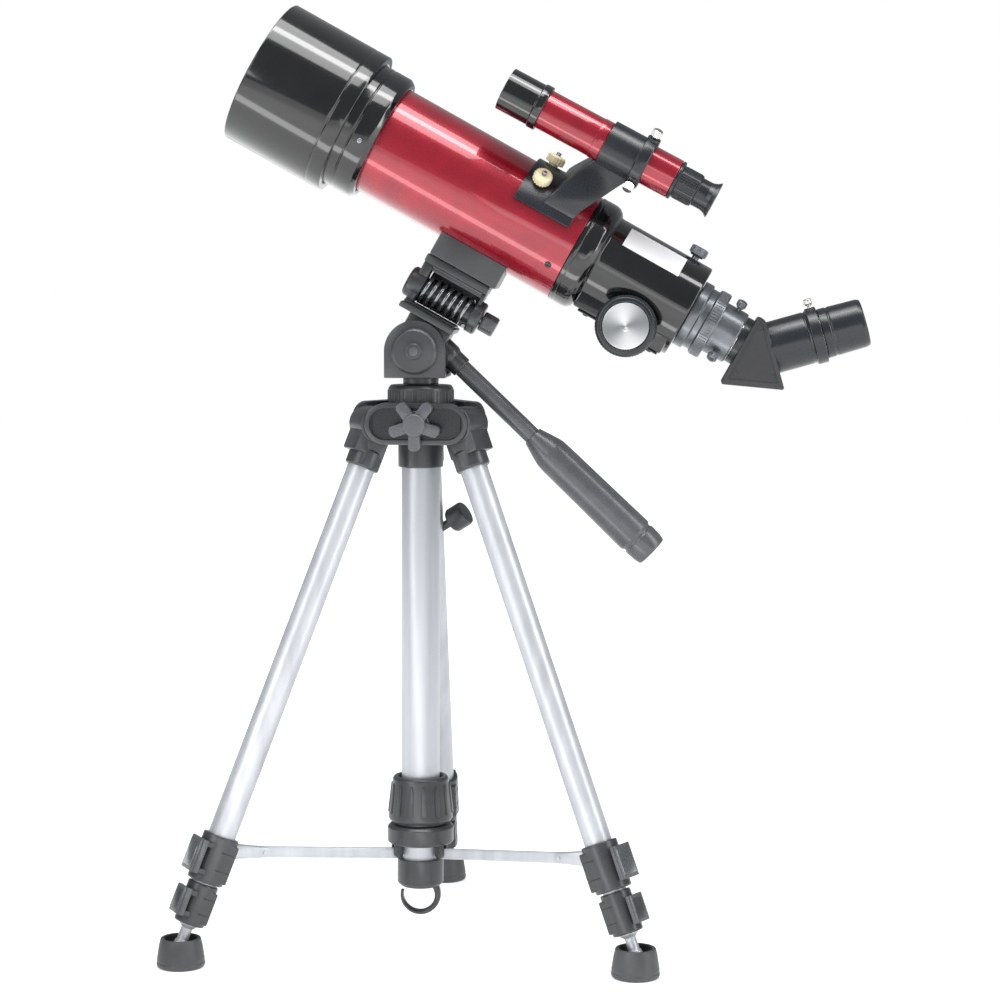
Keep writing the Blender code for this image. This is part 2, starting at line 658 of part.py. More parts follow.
def build_clamp(optics):
    """The spring clamp: a frame under the tube block, its draw screw and its spring."""
    centre = Matrix.Translation((0, 0, SPRING_AXIS)) @ ALONG_X
    post_end = CLAMP_FRONT + CLAMP_POST_LENGTH
    nut_start = CLAMP_REAR - CLAMP_NUT_LENGTH
    top = BLOCK_BOTTOM - GAP
    floor = PLATFORM_TOP - AXIS_HEIGHT + GAP
    frame = block("clamp_frame", (CLAMP_FRONT + 4, -CLAMP_HALF_WIDTH, top - CLAMP_TOP_THICK),
                  (CLAMP_REAR - 4, CLAMP_HALF_WIDTH, top))
    front_post = rod("front_post", 10.6, CLAMP_FRONT, post_end, SMALL, centre)
    front_web = block("front_web", (CLAMP_FRONT + 4.4, -7.6, SPRING_AXIS), (post_end - 0.4, 7.6, top - 1))
    nut = rod("rear_post", 11.6, nut_start, CLAMP_REAR, SMALL, centre)
    rear_web = block("rear_web", (nut_start + 0.4, -7.6, SPRING_AXIS), (CLAMP_REAR - 4.4, 7.6, top - 1))
    web = block("web", (CLAMP_FRONT + 6, -6.0, top - CLAMP_TOP_THICK - 3.6),
                (CLAMP_REAR - 5, 6.0, top - CLAMP_TOP_THICK + 1))
    base = block("base", (CLAMP_FRONT + 5, -11.0, floor), (CLAMP_REAR - 12, 11.0, floor + 1.2))
    feet = [block("foot", (CLAMP_FRONT + 5.2, -9.0, floor + 0.4), (post_end - 1.0, 9.0, SPRING_AXIS - 4)),
            block("foot", (nut_start + 1.0, -9.0, floor + 2.2), (nut_start + 5.0, 9.0, SPRING_AXIS - 4))]
    join(frame, web, front_web, rear_web, front_post, nut, feet[0], feet[1], base)
    hole = rod("screw_hole", CLAMP_ROD_R + RUN, CLAMP_FRONT - 5, CLAMP_REAR + 5, PIN, centre)
    cut(frame, hole)
    hang(frame, "grey_plastic", optics)

    axis = empty("clamp_screw_axis", optics, (0, 0, SPRING_AXIS))
    screw = rod("clamp_screw", CLAMP_ROD_R, CLAMP_FRONT + 1.5, CLAMP_REAR + 1, PIN, ALONG_X)
    knob = rod("knob", CLAMP_KNOB_R, CLAMP_REAR + RUN, CLAMP_REAR + RUN + CLAMP_KNOB_LENGTH, 6, ALONG_X)
    join(screw, knob)
    hang(screw, "steel", axis)

    spring = make_object("clamp_spring", coil("clamp_spring", SPRING_R, SPRING_WIRE_R, SPRING_TURNS,
                                              post_end + GAP, nut_start - GAP), ALONG_X)
    hang(spring, "steel", axis)


def build_platform(tilt):
    """The tilting top of the head, its pivot bolt, and the pan handle."""
    under = PLATFORM_TOP - PLATFORM_THICK
    platform = block("tilt_platform", (-PLATFORM_HALF_LENGTH - 4, -PLATFORM_HALF_WIDTH, under),
                     (PLATFORM_HALF_LENGTH - 4, PLATFORM_HALF_WIDTH, PLATFORM_TOP))
    lug_half = CHEEK_IN - GAP
    lug = rod("lug", LUG_R, -lug_half, lug_half, MID, ALONG_Y)
    riser = block("riser", (-16, -lug_half + 0.4, 4), (15, lug_half - 0.4, under + 1))
    swing = HANDLE_DROP - ALTITUDE
    line = Matrix.Rotation(math.radians(90 + swing), 4, "Y")
    side = Vector((math.sin(math.radians(swing)), 0, math.cos(math.radians(swing)))) * HANDLE_OFFSET
    handle_line = Matrix.Translation(side) @ line
    boss = lathe("boss", [(0, -4), (8.5, -4), (8.5, 20), (7.4, 21), (7.4, 30), (0, 30)], SMALL, handle_line)
    join(platform, riser, lug, boss)
    bolt_hole = rod("bolt_hole", TILT_BOLT_R + GAP, -40, 40, SMALL, ALONG_Y)
    rod_hole = rod("rod_hole", HANDLE_ROD_R + GAP, HANDLE_ROD_START - GAP, 60, SMALL, handle_line)
    cut(platform, bolt_hole, rod_hole)
    hang(platform, "grey_plastic", tilt)

    head = CHEEK_OUT + GAP
    bolt = lathe("tilt_bolt", [
        (0, -head - 6.2), (5.4, -head - 6.2), (5.4, -head - 4.4), (TILT_DISC_R - 1.4, -head - 4.4),
        (TILT_DISC_R, -head - 3), (TILT_DISC_R, -head), (TILT_BOLT_R, -head), (TILT_BOLT_R, head),
        (8.0, head), (8.0, head + 4.5), (0, head + 4.5)], SMALL, ALONG_Y)
    hang(bolt, "grey_plastic", tilt)

    handle = empty("handle_axis", tilt, tuple(side), (0, 90 + swing, 0))
    shaft = rod("handle_rod", HANDLE_ROD_R, HANDLE_ROD_START, HANDLE_GRIP_START + 18)
    hang(shaft, "grey_plastic", handle)
    grip = lathe("handle_grip", [
        (HANDLE_ROD_R + GAP, HANDLE_GRIP_START), (HANDLE_ROD_R + 1.6, HANDLE_GRIP_START),
        (HANDLE_GRIP_R - 1.2, HANDLE_FLARE_END - 8), (HANDLE_GRIP_R, HANDLE_FLARE_END),
        (HANDLE_GRIP_END_R, HANDLE_GROOVE - 1.4), (HANDLE_GRIP_END_R - 1.6, HANDLE_GROOVE),
        (HANDLE_GRIP_END_R - 0.4, HANDLE_GROOVE + 1.4), (HANDLE_GRIP_END_R - 1.4, HANDLE_END - 1),
        (HANDLE_GRIP_END_R - 2.6, HANDLE_END), (0, HANDLE_END), (0, HANDLE_GRIP_START + 18 + GAP),
        (HANDLE_ROD_R + GAP, HANDLE_GRIP_START + 18 + GAP)], SMALL)
    hang(grip, "grey_plastic", handle)


def build_head(pan):
    """The fork that turns on the column, and the collar under it."""
    floor = FORK_BOTTOM - TILT_Z
    outline = [(-CHEEK_R, floor), (CHEEK_R, floor)] + arc((0, 0), CHEEK_R, 0, 180, 12)
    shift = Matrix.Translation((TILT_X, 0, TILT_Z))
    fork = plate("pan_fork", outline, -CHEEK_OUT, CHEEK_OUT, shift)
    slot = block("slot", (-40, -CHEEK_IN, -LUG_R - 0.5), (40, CHEEK_IN, 40), shift)
    cut(fork, slot)
    neck = rod("neck", NECK_R, PAN_BASE_TOP + RUN, FORK_BOTTOM + 2)
    join(fork, neck)
    cut(fork, rod("bolt_hole", TILT_BOLT_R + GAP, -40, 40, SMALL, shift @ ALONG_Y))
    hang(fork, "grey_plastic", pan)


def build_column(root, column):
    base = lathe("pan_base", [
        (0, PAN_BASE_BOTTOM), (PAN_BASE_R, PAN_BASE_BOTTOM), (PAN_BASE_R, PAN_BASE_TOP - 2),
        (PAN_BASE_R - 2, PAN_BASE_TOP), (0, PAN_BASE_TOP)], MID)
    hang(base, "grey_plastic", column)
    slider = tube("centre_column", COLUMN_R, COLUMN_R - 1.4, COLUMN_BOTTOM, PAN_BASE_BOTTOM - GAP, MID)
    hang(slider, "aluminium", column)
    guide = tube("guide_tube", GUIDE_R, GUIDE_R - 1.2, GUIDE_BOTTOM, GUIDE_TOP, MID)
    hang(guide, "aluminium", root)


def build_chassis(root):
    """The three-faced body that holds the column and the legs."""
    corners = []
    pieces = [rod("sleeve", SLEEVE_R, SLEEVE_BOTTOM, CHASSIS_BOTTOM + 3, MID)]
    pockets = []
    height = (FACE_TOP - CHASSIS_BOTTOM) / 2
    middle = CHASSIS_BOTTOM + height
    for azimuth in (-90.0, 30.0, 150.0):
        turn = Matrix.Rotation(math.radians(azimuth + 90.0), 4, "Z")
        corners += [turn @ Vector((-CORE_HALF_FACE, -CORE_DEPTH, 0)), turn @ Vector((CORE_HALF_FACE, -CORE_DEPTH, 0))]
        pieces.append(plate("face", obround(CHASSIS_HALF_FACE, height, middle), -CHASSIS_FACE,
                            -FACE_INSIDE, turn))
        pockets.append(plate("pocket", obround(CHASSIS_HALF_FACE - POCKET_INSET, height - POCKET_INSET, middle),
                             -CHASSIS_FACE - 1, -CHASSIS_FACE + POCKET_DEPTH, turn))
    body = prism("chassis", [(corner.x, corner.y) for corner in corners], CHASSIS_BOTTOM + 0.2, CHASSIS_TOP)
    join(body, *pieces)
    holes = [rod("guide_hole", GUIDE_R + GAP, SLEEVE_BOTTOM - 1, GUIDE_TOP + GAP, MID),
             rod("column_hole", COLUMN_R + RUN, GUIDE_TOP - 2, CHASSIS_TOP + 5, MID)]
    slot_half = YOKE_HALF_WIDTH + RUN
    for azimuth in LEG_AZIMUTHS.values():
        turn = Matrix.Rotation(math.radians(azimuth), 4, "Z")
        holes.append(block("notch", (NOTCH_R, -slot_half, CHASSIS_BOTTOM - 5), (70, slot_half, FACE_TOP + 5), turn))
    cut(body, *pockets, *holes)
    pins = []
    for azimuth in LEG_AZIMUTHS.values():
        turn = Matrix.Rotation(math.radians(azimuth), 4, "Z") @ Matrix.Translation((LEG_PIVOT_R, 0, LEG_PIVOT_Z))
        pins.append(rod("pin", LEG_PIN_R, -slot_half - 1, slot_half + 1, PIN, turn @ ALONG_Y))
    boss = rod("boss", STAR_BOSS_R, CHASSIS_FACE - 6, CHASSIS_FACE + 0.6, SMALL,
               Matrix.Translation((0, 0, STAR_Z)) @ ALONG_Y @ Matrix.Rotation(math.pi, 4, "X"))
    join(body, *pins, boss)
    cut(body, rod("star_hole", STAR_STEM_R + RUN, -CHASSIS_FACE - 10, -COLUMN_R + 2, PIN,
                  Matrix.Translation((0, 0, STAR_Z)) @ ALONG_Y))
    hang(body, "grey_plastic", root)


def build_star_knob(root):
    """Five-lobed screw that clamps the column."""
    outline = []
    pitch = 360.0 / STAR_LOBES
    reach = math.sqrt(STAR_TIP_R ** 2 - STAR_LOBE_HALF ** 2)
    inner = math.sqrt(STAR_HUB_R ** 2 - STAR_LOBE_HALF ** 2)
    for lobe in range(STAR_LOBES):
        angle = math.radians(-90.0 + lobe * pitch)
        along = Vector((math.cos(angle), math.sin(angle)))
        across = Vector((-math.sin(angle), math.cos(angle)))
        for distance, side in ((inner, -1), (reach, -1), (reach, 1), (inner, 1)):
            point = along * distance + across * (side * STAR_LOBE_HALF)
            outline.append((point.x, point.y))
    axis = empty("star_knob_axis", root, (0, -CHASSIS_FACE, STAR_Z))
    knob = plate("star_knob", outline, -11.6, -2.4)
    hub = rod("hub", STAR_HUB_R + 0.5, -13.4, -1.2, SMALL, ALONG_Y)
    stem = rod("stem", 3.0, -4, CHASSIS_FACE - COLUMN_R - GAP, PIN, ALONG_Y)
    join(knob, hub, stem)
    hang(knob, "grey_plastic", axis)


def build_spreader(root, hub_frame):
    """Sliding hub with its twist collar, the hook cap, and three arms."""
    hub = lathe("spreader_hub", [
        (GUIDE_R + RUN, RING_BOTTOM), (RING_R - 1.2, RING_BOTTOM), (RING_R, RING_BOTTOM + 1.2),
        (RING_R, RING_TOP - 2.2), (RING_R - 2.2, RING_TOP), (HUB_NECK_R, RING_TOP), (HUB_NECK_R, NECK_TOP),
        (GUIDE_R + RUN, NECK_TOP)], MID)
    ears = []
    pins = []
    ear_in = ARM_HALF_THICK + GAP
    ear_out = ear_in + EAR_THICK
    for azimuth in LEG_AZIMUTHS.values():
        turn = Matrix.Rotation(math.radians(azimuth), 4, "Z")
        shape = [(ARM_PIVOT_R - 3.0, RING_BOTTOM + 1)] + arc((ARM_PIVOT_R, ARM_PIVOT_Z), 3.0, 180, 360, 6)
        shape.append((ARM_PIVOT_R + 3.0, RING_BOTTOM + 1))
        ears.append(plate("ear", shape, ear_in, ear_out, turn))
        ears.append(plate("ear", shape, -ear_out, -ear_in, turn))
        pins.append(rod("pin", ARM_PIN_R, -ear_out + 0.4, ear_out - 0.4, PIN,
                        turn @ Matrix.Translation((ARM_PIVOT_R, 0, ARM_PIVOT_Z)) @ ALONG_Y))
    join(hub, *ears, *pins)
    hang(hub, "grey_plastic", hub_frame)

    collar = lathe("twist_collar", [
        (HUB_NECK_R + RUN, COLLAR_BOTTOM), (COLLAR_R - 1.5, COLLAR_BOTTOM), (COLLAR_R, COLLAR_BOTTOM + 2.0),
        (COLLAR_TOP_R, COLLAR_TOP - 1.5), (COLLAR_TOP_R - 1.5, COLLAR_TOP), (GUIDE_R + 3.0, COLLAR_TOP),
        (GUIDE_R + 0.5, COLLAR_TOP - 6), (GUIDE_R + 0.5, NECK_TOP + RUN), (HUB_NECK_R + RUN, NECK_TOP + RUN)], BIG)
    hang(collar, "grey_plastic", hub_frame)

    cap = lathe("hook_cap", [
        (0, HOOK_CAP_BOTTOM), (HOOK_CAP_R - 2.4, HOOK_CAP_BOTTOM), (HOOK_CAP_R, HOOK_CAP_BOTTOM + 2.4),
        (HOOK_CAP_R, HOOK_CAP_TOP), (GUIDE_R + GAP, HOOK_CAP_TOP), (GUIDE_R + GAP, GUIDE_BOTTOM - GAP),
        (0, GUIDE_BOTTOM - GAP)], MID)
    outer = arc((-0.4, HOOK_Z), HOOK_INNER_R + 4.2, -90, 0, 7)
    inner = arc((-0.4, HOOK_Z), HOOK_INNER_R, 0, -90, 7)
    tail_out = arc((-0.4, HOOK_Z), HOOK_INNER_R + 4.2, -90, -195, 9)
    tail_in = arc((-0.4, HOOK_Z), HOOK_INNER_R, -195, -90, 9)
    shape = ([(outer[-1][0], HOOK_CAP_BOTTOM + 4)] + list(reversed(outer)) + tail_out[1:]
             + tail_in + inner[::-1][1:] + [(inner[0][0], HOOK_CAP_BOTTOM + 4)])
    hook = plate("hook", shape, -HOOK_HALF_WIDTH, HOOK_HALF_WIDTH)
    join(cap, hook)
    hang(cap, "grey_plastic", root)


def build_arm(name, azimuth, hub_frame):
    """One flat bar from the hub to a leg; its outer pin hole meets the leg's ears."""
    frame = empty(name + "_axis", hub_frame,
                  (ARM_PIVOT_R * math.cos(math.radians(azimuth)), ARM_PIVOT_R * math.sin(math.radians(azimuth)),
                   ARM_PIVOT_Z), (0, -ARM_RISE, azimuth))
    outline = (arc((ARM_SPAN, 0), ARM_HALF_HEIGHT, -90, 90, 5) + arc((0, 0), ARM_HALF_HEIGHT, 90, 270, 5))
    bar = plate(name, outline, -ARM_HALF_THICK, ARM_HALF_THICK)
    cut(bar, rod("hole", ARM_PIN_R + GAP, -5, 5, PIN, ALONG_Y),
        rod("hole", ARM_PIN_R + GAP, -5, 5, PIN, Matrix.Translation((ARM_SPAN, 0, 0)) @ ALONG_Y))
    hang(bar, "aluminium", frame)


# ------------------------------------------------------------------ legs

def lever_knuckle(side, lock_r):
    """Where a clamp lever's hinge stands, beside the lock, in the leg's frame."""
    return Vector((LEG_OFFSET + lock_r + 0.9, side * (lock_r - 1.8), 0))


def build_lock(name, frame, start, length, lock_r, outer_r, inner_r, step_at):
    """A clamp collar on one leg tube that grips the next, with its side lever."""
    shift = Matrix.Translation((LEG_OFFSET, 0, 0))
    collar = lathe(name + "_lock", [
        (lock_r, -start), (lock_r, -start - length), (inner_r + RUN, -start - length),
        (inner_r + RUN, -step_at - RUN), (outer_r + GAP, -step_at - RUN), (outer_r + GAP, -start)], SMALL, shift)
    knuckle = lever_knuckle(1, lock_r)
    root = (outer_r + GAP + 0.2) * math.cos(math.radians(45))
    lever_top = -start - 5.0
    lever_bottom = -start - length + 4.6
    lugs = []
    for low, high in ((lever_top + RUN, lever_top + 4.0), (lever_bottom - 3.8, lever_bottom - RUN)):
        lugs.append(rod("lug", KNUCKLE_R, low, high, PIN, Matrix.Translation(knuckle)))
        lugs.append(block("lug_root", (LEG_OFFSET + root, root, low + 0.05),
                          (knuckle.x + 0.3, knuckle.y + 1.2, high - 0.05)))
    join(collar, *lugs)
    lever = block(name + "_lever", (knuckle.x - 0.2, -lock_r + 2.6, lever_bottom),
                  (knuckle.x + 3.6, knuckle.y, lever_top))
    join(lever, rod("knuckle", KNUCKLE_R + 0.2, lever_bottom + 0.02, lever_top - 0.02, PIN,
                    Matrix.Translation(knuckle)))
    cut(lever, rod("collar_space", lock_r + GAP, lever_bottom - 5, lever_top + 5, SMALL, shift))
    hang(lever, "grey_plastic", frame, knuckle)
    return collar


def build_leg(name, azimuth, root):
    turned = math.radians(azimuth)
    frame = empty(name + "_leg_axis", root,
                  (LEG_PIVOT_R * math.cos(turned), LEG_PIVOT_R * math.sin(turned), LEG_PIVOT_Z),
                  (0, -LEG_SPREAD, azimuth))
    shift = Matrix.Translation((LEG_OFFSET, 0, 0))

    yoke = rod(name + "_yoke", YOKE_R, -YOKE_HALF_WIDTH, YOKE_HALF_WIDTH, SMALL, ALONG_Y)
    socket = rod("socket", UPPER_R + GAP + SOCKET_WALL, -YOKE_LENGTH, -17, SMALL, shift)
    cheek = block("cheek", (LEG_OFFSET - 8.6, -YOKE_HALF_WIDTH + 0.4, -21), (9.6, YOKE_HALF_WIDTH - 0.4, -2))
    join(yoke, cheek, socket)
    cut(yoke, rod("tube_hole", UPPER_R + GAP, -YOKE_LENGTH - 5, -12, SMALL, shift),
        rod("pin_hole", LEG_PIN_R + RUN, -20, 20, PIN, ALONG_Y))
    hang(yoke, "grey_plastic", frame)

    upper = tube(name + "_upper_tube", UPPER_R, UPPER_R - LEG_WALL, -UPPER_END, -12 - GAP, SMALL, shift)
    hang(upper, "aluminium", frame)

    upper_lock = build_lock(name + "_upper", frame, UPPER_LOCK_START, UPPER_LOCK_LENGTH, UPPER_LOCK_R,
                            UPPER_R, MIDDLE_R, UPPER_END)
    ear_in = ARM_HALF_THICK + GAP
    ear_out = ear_in + EAR_THICK
    ear_x, ear_z = arm_tip_in_leg()
    root_x = LEG_OFFSET - UPPER_LOCK_R + 1.6
    shape = [(root_x, ear_z - 12)] + [(root_x, ear_z - 1.5)] + arc((ear_x, ear_z), 3.4, 90, 250, 6)
    join(upper_lock, plate("ear", shape, ear_in, ear_out), plate("ear", shape, -ear_out, -ear_in))
    hang(upper_lock, "grey_plastic", frame)

    lock_start = UPPER_LOCK_START + UPPER_LOCK_LENGTH + 1.2
    lock_step = lock_start + LOWER_LOCK_LENGTH - LOCK_STEP
    middle = tube(name + "_middle_tube", MIDDLE_R, MIDDLE_R - LEG_WALL, -lock_step, -MIDDLE_TOP, SMALL, shift)
    hang(middle, "aluminium", frame)
    lower_lock = build_lock(name + "_lower", frame, lock_start, LOWER_LOCK_LENGTH, LOWER_LOCK_R,
                            MIDDLE_R, LOWER_R, lock_step)
    hang(lower_lock, "grey_plastic", frame)

    tube_end = lock_start + LOWER_LOCK_LENGTH + 0.6
    ball = [(BALL_R * math.sin(math.radians(angle)), -BALL_S - BALL_R * math.cos(math.radians(angle)))
            for angle in (0, 35, 70, 100, 130)]
    lower = lathe(name + "_lower_tube", ball + [
        (STUD_R, -tube_end - 1.5), (LOWER_R, -tube_end), (LOWER_R, -LOWER_TOP), (LOWER_R - LEG_WALL, -LOWER_TOP),
        (LOWER_R - LEG_WALL, -tube_end + 8), (0, -tube_end + 8)], SMALL, shift)
    hang(lower, "aluminium", frame)

    ball_centre = frame_point(azimuth, LEG_OFFSET, -BALL_S)
    foot_frame = empty(name + "_foot_axis", root, ball_centre, (0, 0, azimuth))
    low = -ball_centre.z
    foot = lathe(name + "_foot", [
        (0, low), (FOOT_R - 1.6, low), (FOOT_R, low + 1.8), (FOOT_R - 0.3, low + 6), (FOOT_RIM_R + 0.6, low + 15),
        (FOOT_RIM_R - 0.6, low + FOOT_HEIGHT), (FOOT_CUP_R + 0.6, low + FOOT_HEIGHT),
        (FOOT_CUP_R, low + FOOT_HEIGHT - 1.2), (FOOT_CUP_R - 2.5, low + FOOT_CUP_FLOOR),
        (0, low + FOOT_CUP_FLOOR)], SMALL)
    hang(foot, "rubber", foot_frame)


def frame_point(azimuth, out, up):
    """A point given in a leg's own frame, in the tripod's frame, in millimetres."""
    spread = math.radians(LEG_SPREAD)
    turned = math.radians(azimuth)
    radius = LEG_PIVOT_R + out * math.cos(spread) - up * math.sin(spread)
    height = LEG_PIVOT_Z + out * math.sin(spread) + up * math.cos(spread)
    return Vector((radius * math.cos(turned), radius * math.sin(turned), height))


def arm_tip_in_leg():
    """The arm's outer pivot, seen from a leg's own frame."""
    rise = math.radians(ARM_RISE)
    spread = math.radians(LEG_SPREAD)
    radius = ARM_PIVOT_R + ARM_SPAN * math.cos(rise) - LEG_PIVOT_R
    height = ARM_PIVOT_Z + ARM_SPAN * math.sin(rise) - LEG_PIVOT_Z
    return (radius * math.cos(spread) + height * math.sin(spread),
            -radius * math.sin(spread) + height * math.cos(spread))


def centre_on_floor(root):
    """Move everything so that the origin is the middle of the box's underside."""
    bpy.context.view_layer.update()
    corners = [item.matrix_world @ vertex.co for item in bpy.data.objects if item.type == "MESH"
               for vertex in item.data.vertices]
    low = [min(corner[axis] for corner in corners) for axis in range(3)]
    high = [max(corner[axis] for corner in corners) for axis in range(3)]
    root.location = (-(low[0] + high[0]) / 2, -(low[1] + high[1]) / 2, -low[2])
    bpy.context.view_layer.update()


def main():
    clear_scene()
    root = empty("telescope_on_tripod")
    column = empty("column_axis", root)
    pan = empty("pan_axis", column)
    tilt = empty("tilt_axis", pan, (TILT_X, 0, TILT_Z), (0, ALTITUDE, 0))
    optics = empty("optical_axis", tilt, (-BALANCE_S, 0, AXIS_HEIGHT))
    hub_frame = empty("spreader_axis", root)
    build_tube(optics)
    build_focuser(optics)
    build_diagonal(optics)
    build_finder(optics)
    build_clamp(optics)
    build_platform(tilt)
    build_head(pan)
    build_column(root, column)
    build_chassis(root)
    build_star_knob(root)
    build_spreader(root, hub_frame)
    for name, azimuth in LEG_AZIMUTHS.items():
        build_arm(name + "_arm", azimuth, hub_frame)
        build_leg(name, azimuth, root)
    centre_on_floor(root)


main()
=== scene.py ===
"""Small refracting telescope on a folding aluminium tripod, dressed over its fixed CAD frame."""

import json
import math

import bmesh
import bpy
from mathutils import Matrix, Vector


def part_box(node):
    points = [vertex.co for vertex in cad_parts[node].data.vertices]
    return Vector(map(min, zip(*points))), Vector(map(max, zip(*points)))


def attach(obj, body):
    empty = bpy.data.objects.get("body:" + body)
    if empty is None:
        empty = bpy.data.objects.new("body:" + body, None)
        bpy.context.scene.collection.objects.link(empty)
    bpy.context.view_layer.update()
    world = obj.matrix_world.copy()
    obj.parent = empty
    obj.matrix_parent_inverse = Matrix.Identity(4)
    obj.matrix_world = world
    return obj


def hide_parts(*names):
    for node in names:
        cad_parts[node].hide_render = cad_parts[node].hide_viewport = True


bl_info = {
    "name": "Telescope on tripod",
    "version": (1, 0, 0),
    "blender": (4, 5, 0),
    "location": "View3D > Sidebar > Telescope",
    "description": "Builds a small refractor, its finder and its tripod piece by piece",
    "category": "Object",
}

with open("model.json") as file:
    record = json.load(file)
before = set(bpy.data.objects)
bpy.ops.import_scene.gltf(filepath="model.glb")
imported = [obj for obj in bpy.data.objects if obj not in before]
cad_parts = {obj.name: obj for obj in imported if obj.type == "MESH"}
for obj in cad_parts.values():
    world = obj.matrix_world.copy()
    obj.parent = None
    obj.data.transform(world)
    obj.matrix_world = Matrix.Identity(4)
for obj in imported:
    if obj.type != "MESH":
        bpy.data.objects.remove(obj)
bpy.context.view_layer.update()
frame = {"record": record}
JOINTS = {joint["name"]: joint for joint in frame["record"]["behaviour"]["joints"]}
SIDES = {"left": -150.0, "right": -30.0, "rear": 90.0}


def srgb(code):
    """An sRGB hex colour as linear red, green and blue."""
    parts = [int(code[index:index + 2], 16) / 255 for index in (1, 3, 5)]
    return [part / 12.92 if part <= 0.04045 else ((part + 0.055) / 1.055) ** 2.4 for part in parts]


def centre_of(node):
    """The middle of a CAD node's box, in millimetres."""
    low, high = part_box(node)
    return [(low[axis] + high[axis]) * 500 for axis in range(3)]


# ---------------------------------------------------------------- places, in millimetres

COLUMN = centre_of("guide_tube")
TRIPOD = Matrix.Translation((COLUMN[0], COLUMN[1], 0))
TUBE_AXIS = Vector(JOINTS["focus_slide"]["axis"])
ALTITUDE = math.degrees(math.atan2(-TUBE_AXIS.z, TUBE_AXIS.x))
TILT = Matrix.Translation(Vector(JOINTS["tilt"]["pos_m"]) * 1000) @ Matrix.Rotation(math.radians(ALTITUDE),
                                                                                    4, "Y")
OPTICS = TILT @ Matrix.Translation((-70.9, 0, 111.7))
HEAD = Matrix.Translation(Vector(JOINTS["tilt"]["pos_m"]) * 1000)
ALONG_X = Matrix.Rotation(math.radians(90), 4, "Y")
ALONG_Y = Matrix.Rotation(math.radians(-90), 4, "X")
FINDER_ROLL = OPTICS @ Matrix.Rotation(math.radians(26), 4, "X")
FINDER = FINDER_ROLL @ Matrix.Translation((90, 0, 77.4)) @ Matrix.Rotation(math.radians(-1.2), 4, "Y")
PINION = Vector((185.4, 0, -27.5))
PINION_AXIS = OPTICS @ Matrix.Translation(PINION) @ ALONG_Y
HANDLE_AXIS = Vector(JOINTS["handle_turn"]["axis"])
HANDLE = (Matrix.Translation(Vector(JOINTS["handle_turn"]["pos_m"]) * 1000)
          @ HANDLE_AXIS.to_track_quat("Z", "Y").to_matrix().to_4x4())

LEG_PIVOT_OUT = 36
LEG_PIVOT_UP = 355
LEG_SPLAY = 22.56       # degrees out from upright
LEG_AXIS_X = -4.1       # the tubes run this far inside the pivot
KNOB_UP = 355.7         # middle of the chassis face and of its lock knob
ARM_PIVOT_OUT = 17.2
ARM_PIVOT_UP = 61
ARM_RISE = 5.9          # degrees up from the hub to the leg
ARM_SPAN = 97.7         # between the two pivots of an arm
UPPER_LOCK = (291, 32, 12.2)      # start down the leg, length, radius
LOWER_LOCK = (324.2, 28, 10.3)


def leg_place(azimuth):
    """A leg's own frame: its pivot, with the leg running down -Z."""
    turned = math.radians(azimuth)
    return (TRIPOD @ Matrix.Translation((LEG_PIVOT_OUT * math.cos(turned), LEG_PIVOT_OUT * math.sin(turned),
                                         LEG_PIVOT_UP))
            @ Matrix.Rotation(turned, 4, "Z") @ Matrix.Rotation(math.radians(-LEG_SPLAY), 4, "Y"))


# ---------------------------------------------------------------- mesh helpers

def soften(points, radius, steps=3, about_axis=True):
    """Round each corner of a closed outline, less where an edge is short."""
    result = []
    for index, point in enumerate(points):
        here = Vector(point)
        into = Vector(points[index - 1]) - here
        out = Vector(points[(index + 1) % len(points)]) - here
        on_axis = about_axis and here.x == 0
        if on_axis or min(into.length,
                          out.length) < 1e-6 or into.normalized().dot(out.normalized()) < -0.985:
            result.append(tuple(here))
            continue
        start = here + into.normalized() * min(radius, into.length * 0.45)
        end = here + out.normalized() * min(radius, out.length * 0.45)
        for step in range(steps + 1):
            part = step / steps
            result.append(tuple(start * (1 - part) ** 2 + here * 2 * part * (1 - part) + end * part ** 2))
    return result


def lathe(profile, segments=64, place=None, round_by=0.5):
    """Turn a closed (radius, height) outline about Z."""
    if round_by:
        profile = soften(profile, round_by)
    shell = bmesh.new()
    rings = []
    for radius, height in profile:
        if radius <= 1e-6:
            rings.append([shell.verts.new((0, 0, height))])
            continue
        rings.append([shell.verts.new((radius * math.cos(2 * math.pi * step / segments),
                                       radius * math.sin(2 * math.pi * step / segments), height))
                      for step in range(segments)])
    for index, ring in enumerate(rings):
        following = rings[(index + 1) % len(rings)]
        if len(ring) == 1 and len(following) == 1:
            continue
        for step in range(segments):
            after = (step + 1) % segments
            corners = [ring[step % len(ring)], ring[after % len(ring)],
                       following[after % len(following)], following[step % len(following)]]
            shell.faces.new(list(dict.fromkeys(corners)))
    return placed(shell, place)


def placed(shell, place):
    """Move a shell to its place, faces pointing out."""
    if place is not None:
        bmesh.ops.transform(shell, matrix=place, verts=shell.verts)
    bmesh.ops.recalc_face_normals(shell, faces=shell.faces)
    return shell


def rod(radius, low, high, place=None, segments=48, round_by=0.4):
    """A solid round bar along Z, with rounded rims."""
    return lathe([(0, low), (radius, low), (radius, high), (0, high)], segments, place, round_by)


def pipe(outer, inner, low, high, place=None, segments=64, round_by=0.3):
    """A hollow round bar along Z, with rounded rims."""
    return lathe([(outer, low), (outer, high), (inner, high), (inner, low)], segments, place, round_by)


def bevel_edges(shell, width, steps=2):
    """Round off every sharp edge of a shell."""
    sharp = [edge for edge in shell.edges if len(edge.link_faces) == 2 and edge.calc_face_angle(0) > 0.6]
    bmesh.ops.bevel(shell, geom=sharp, offset=width, segments=steps, profile=0.5, affect="EDGES",
                    clamp_overlap=True)
    return shell


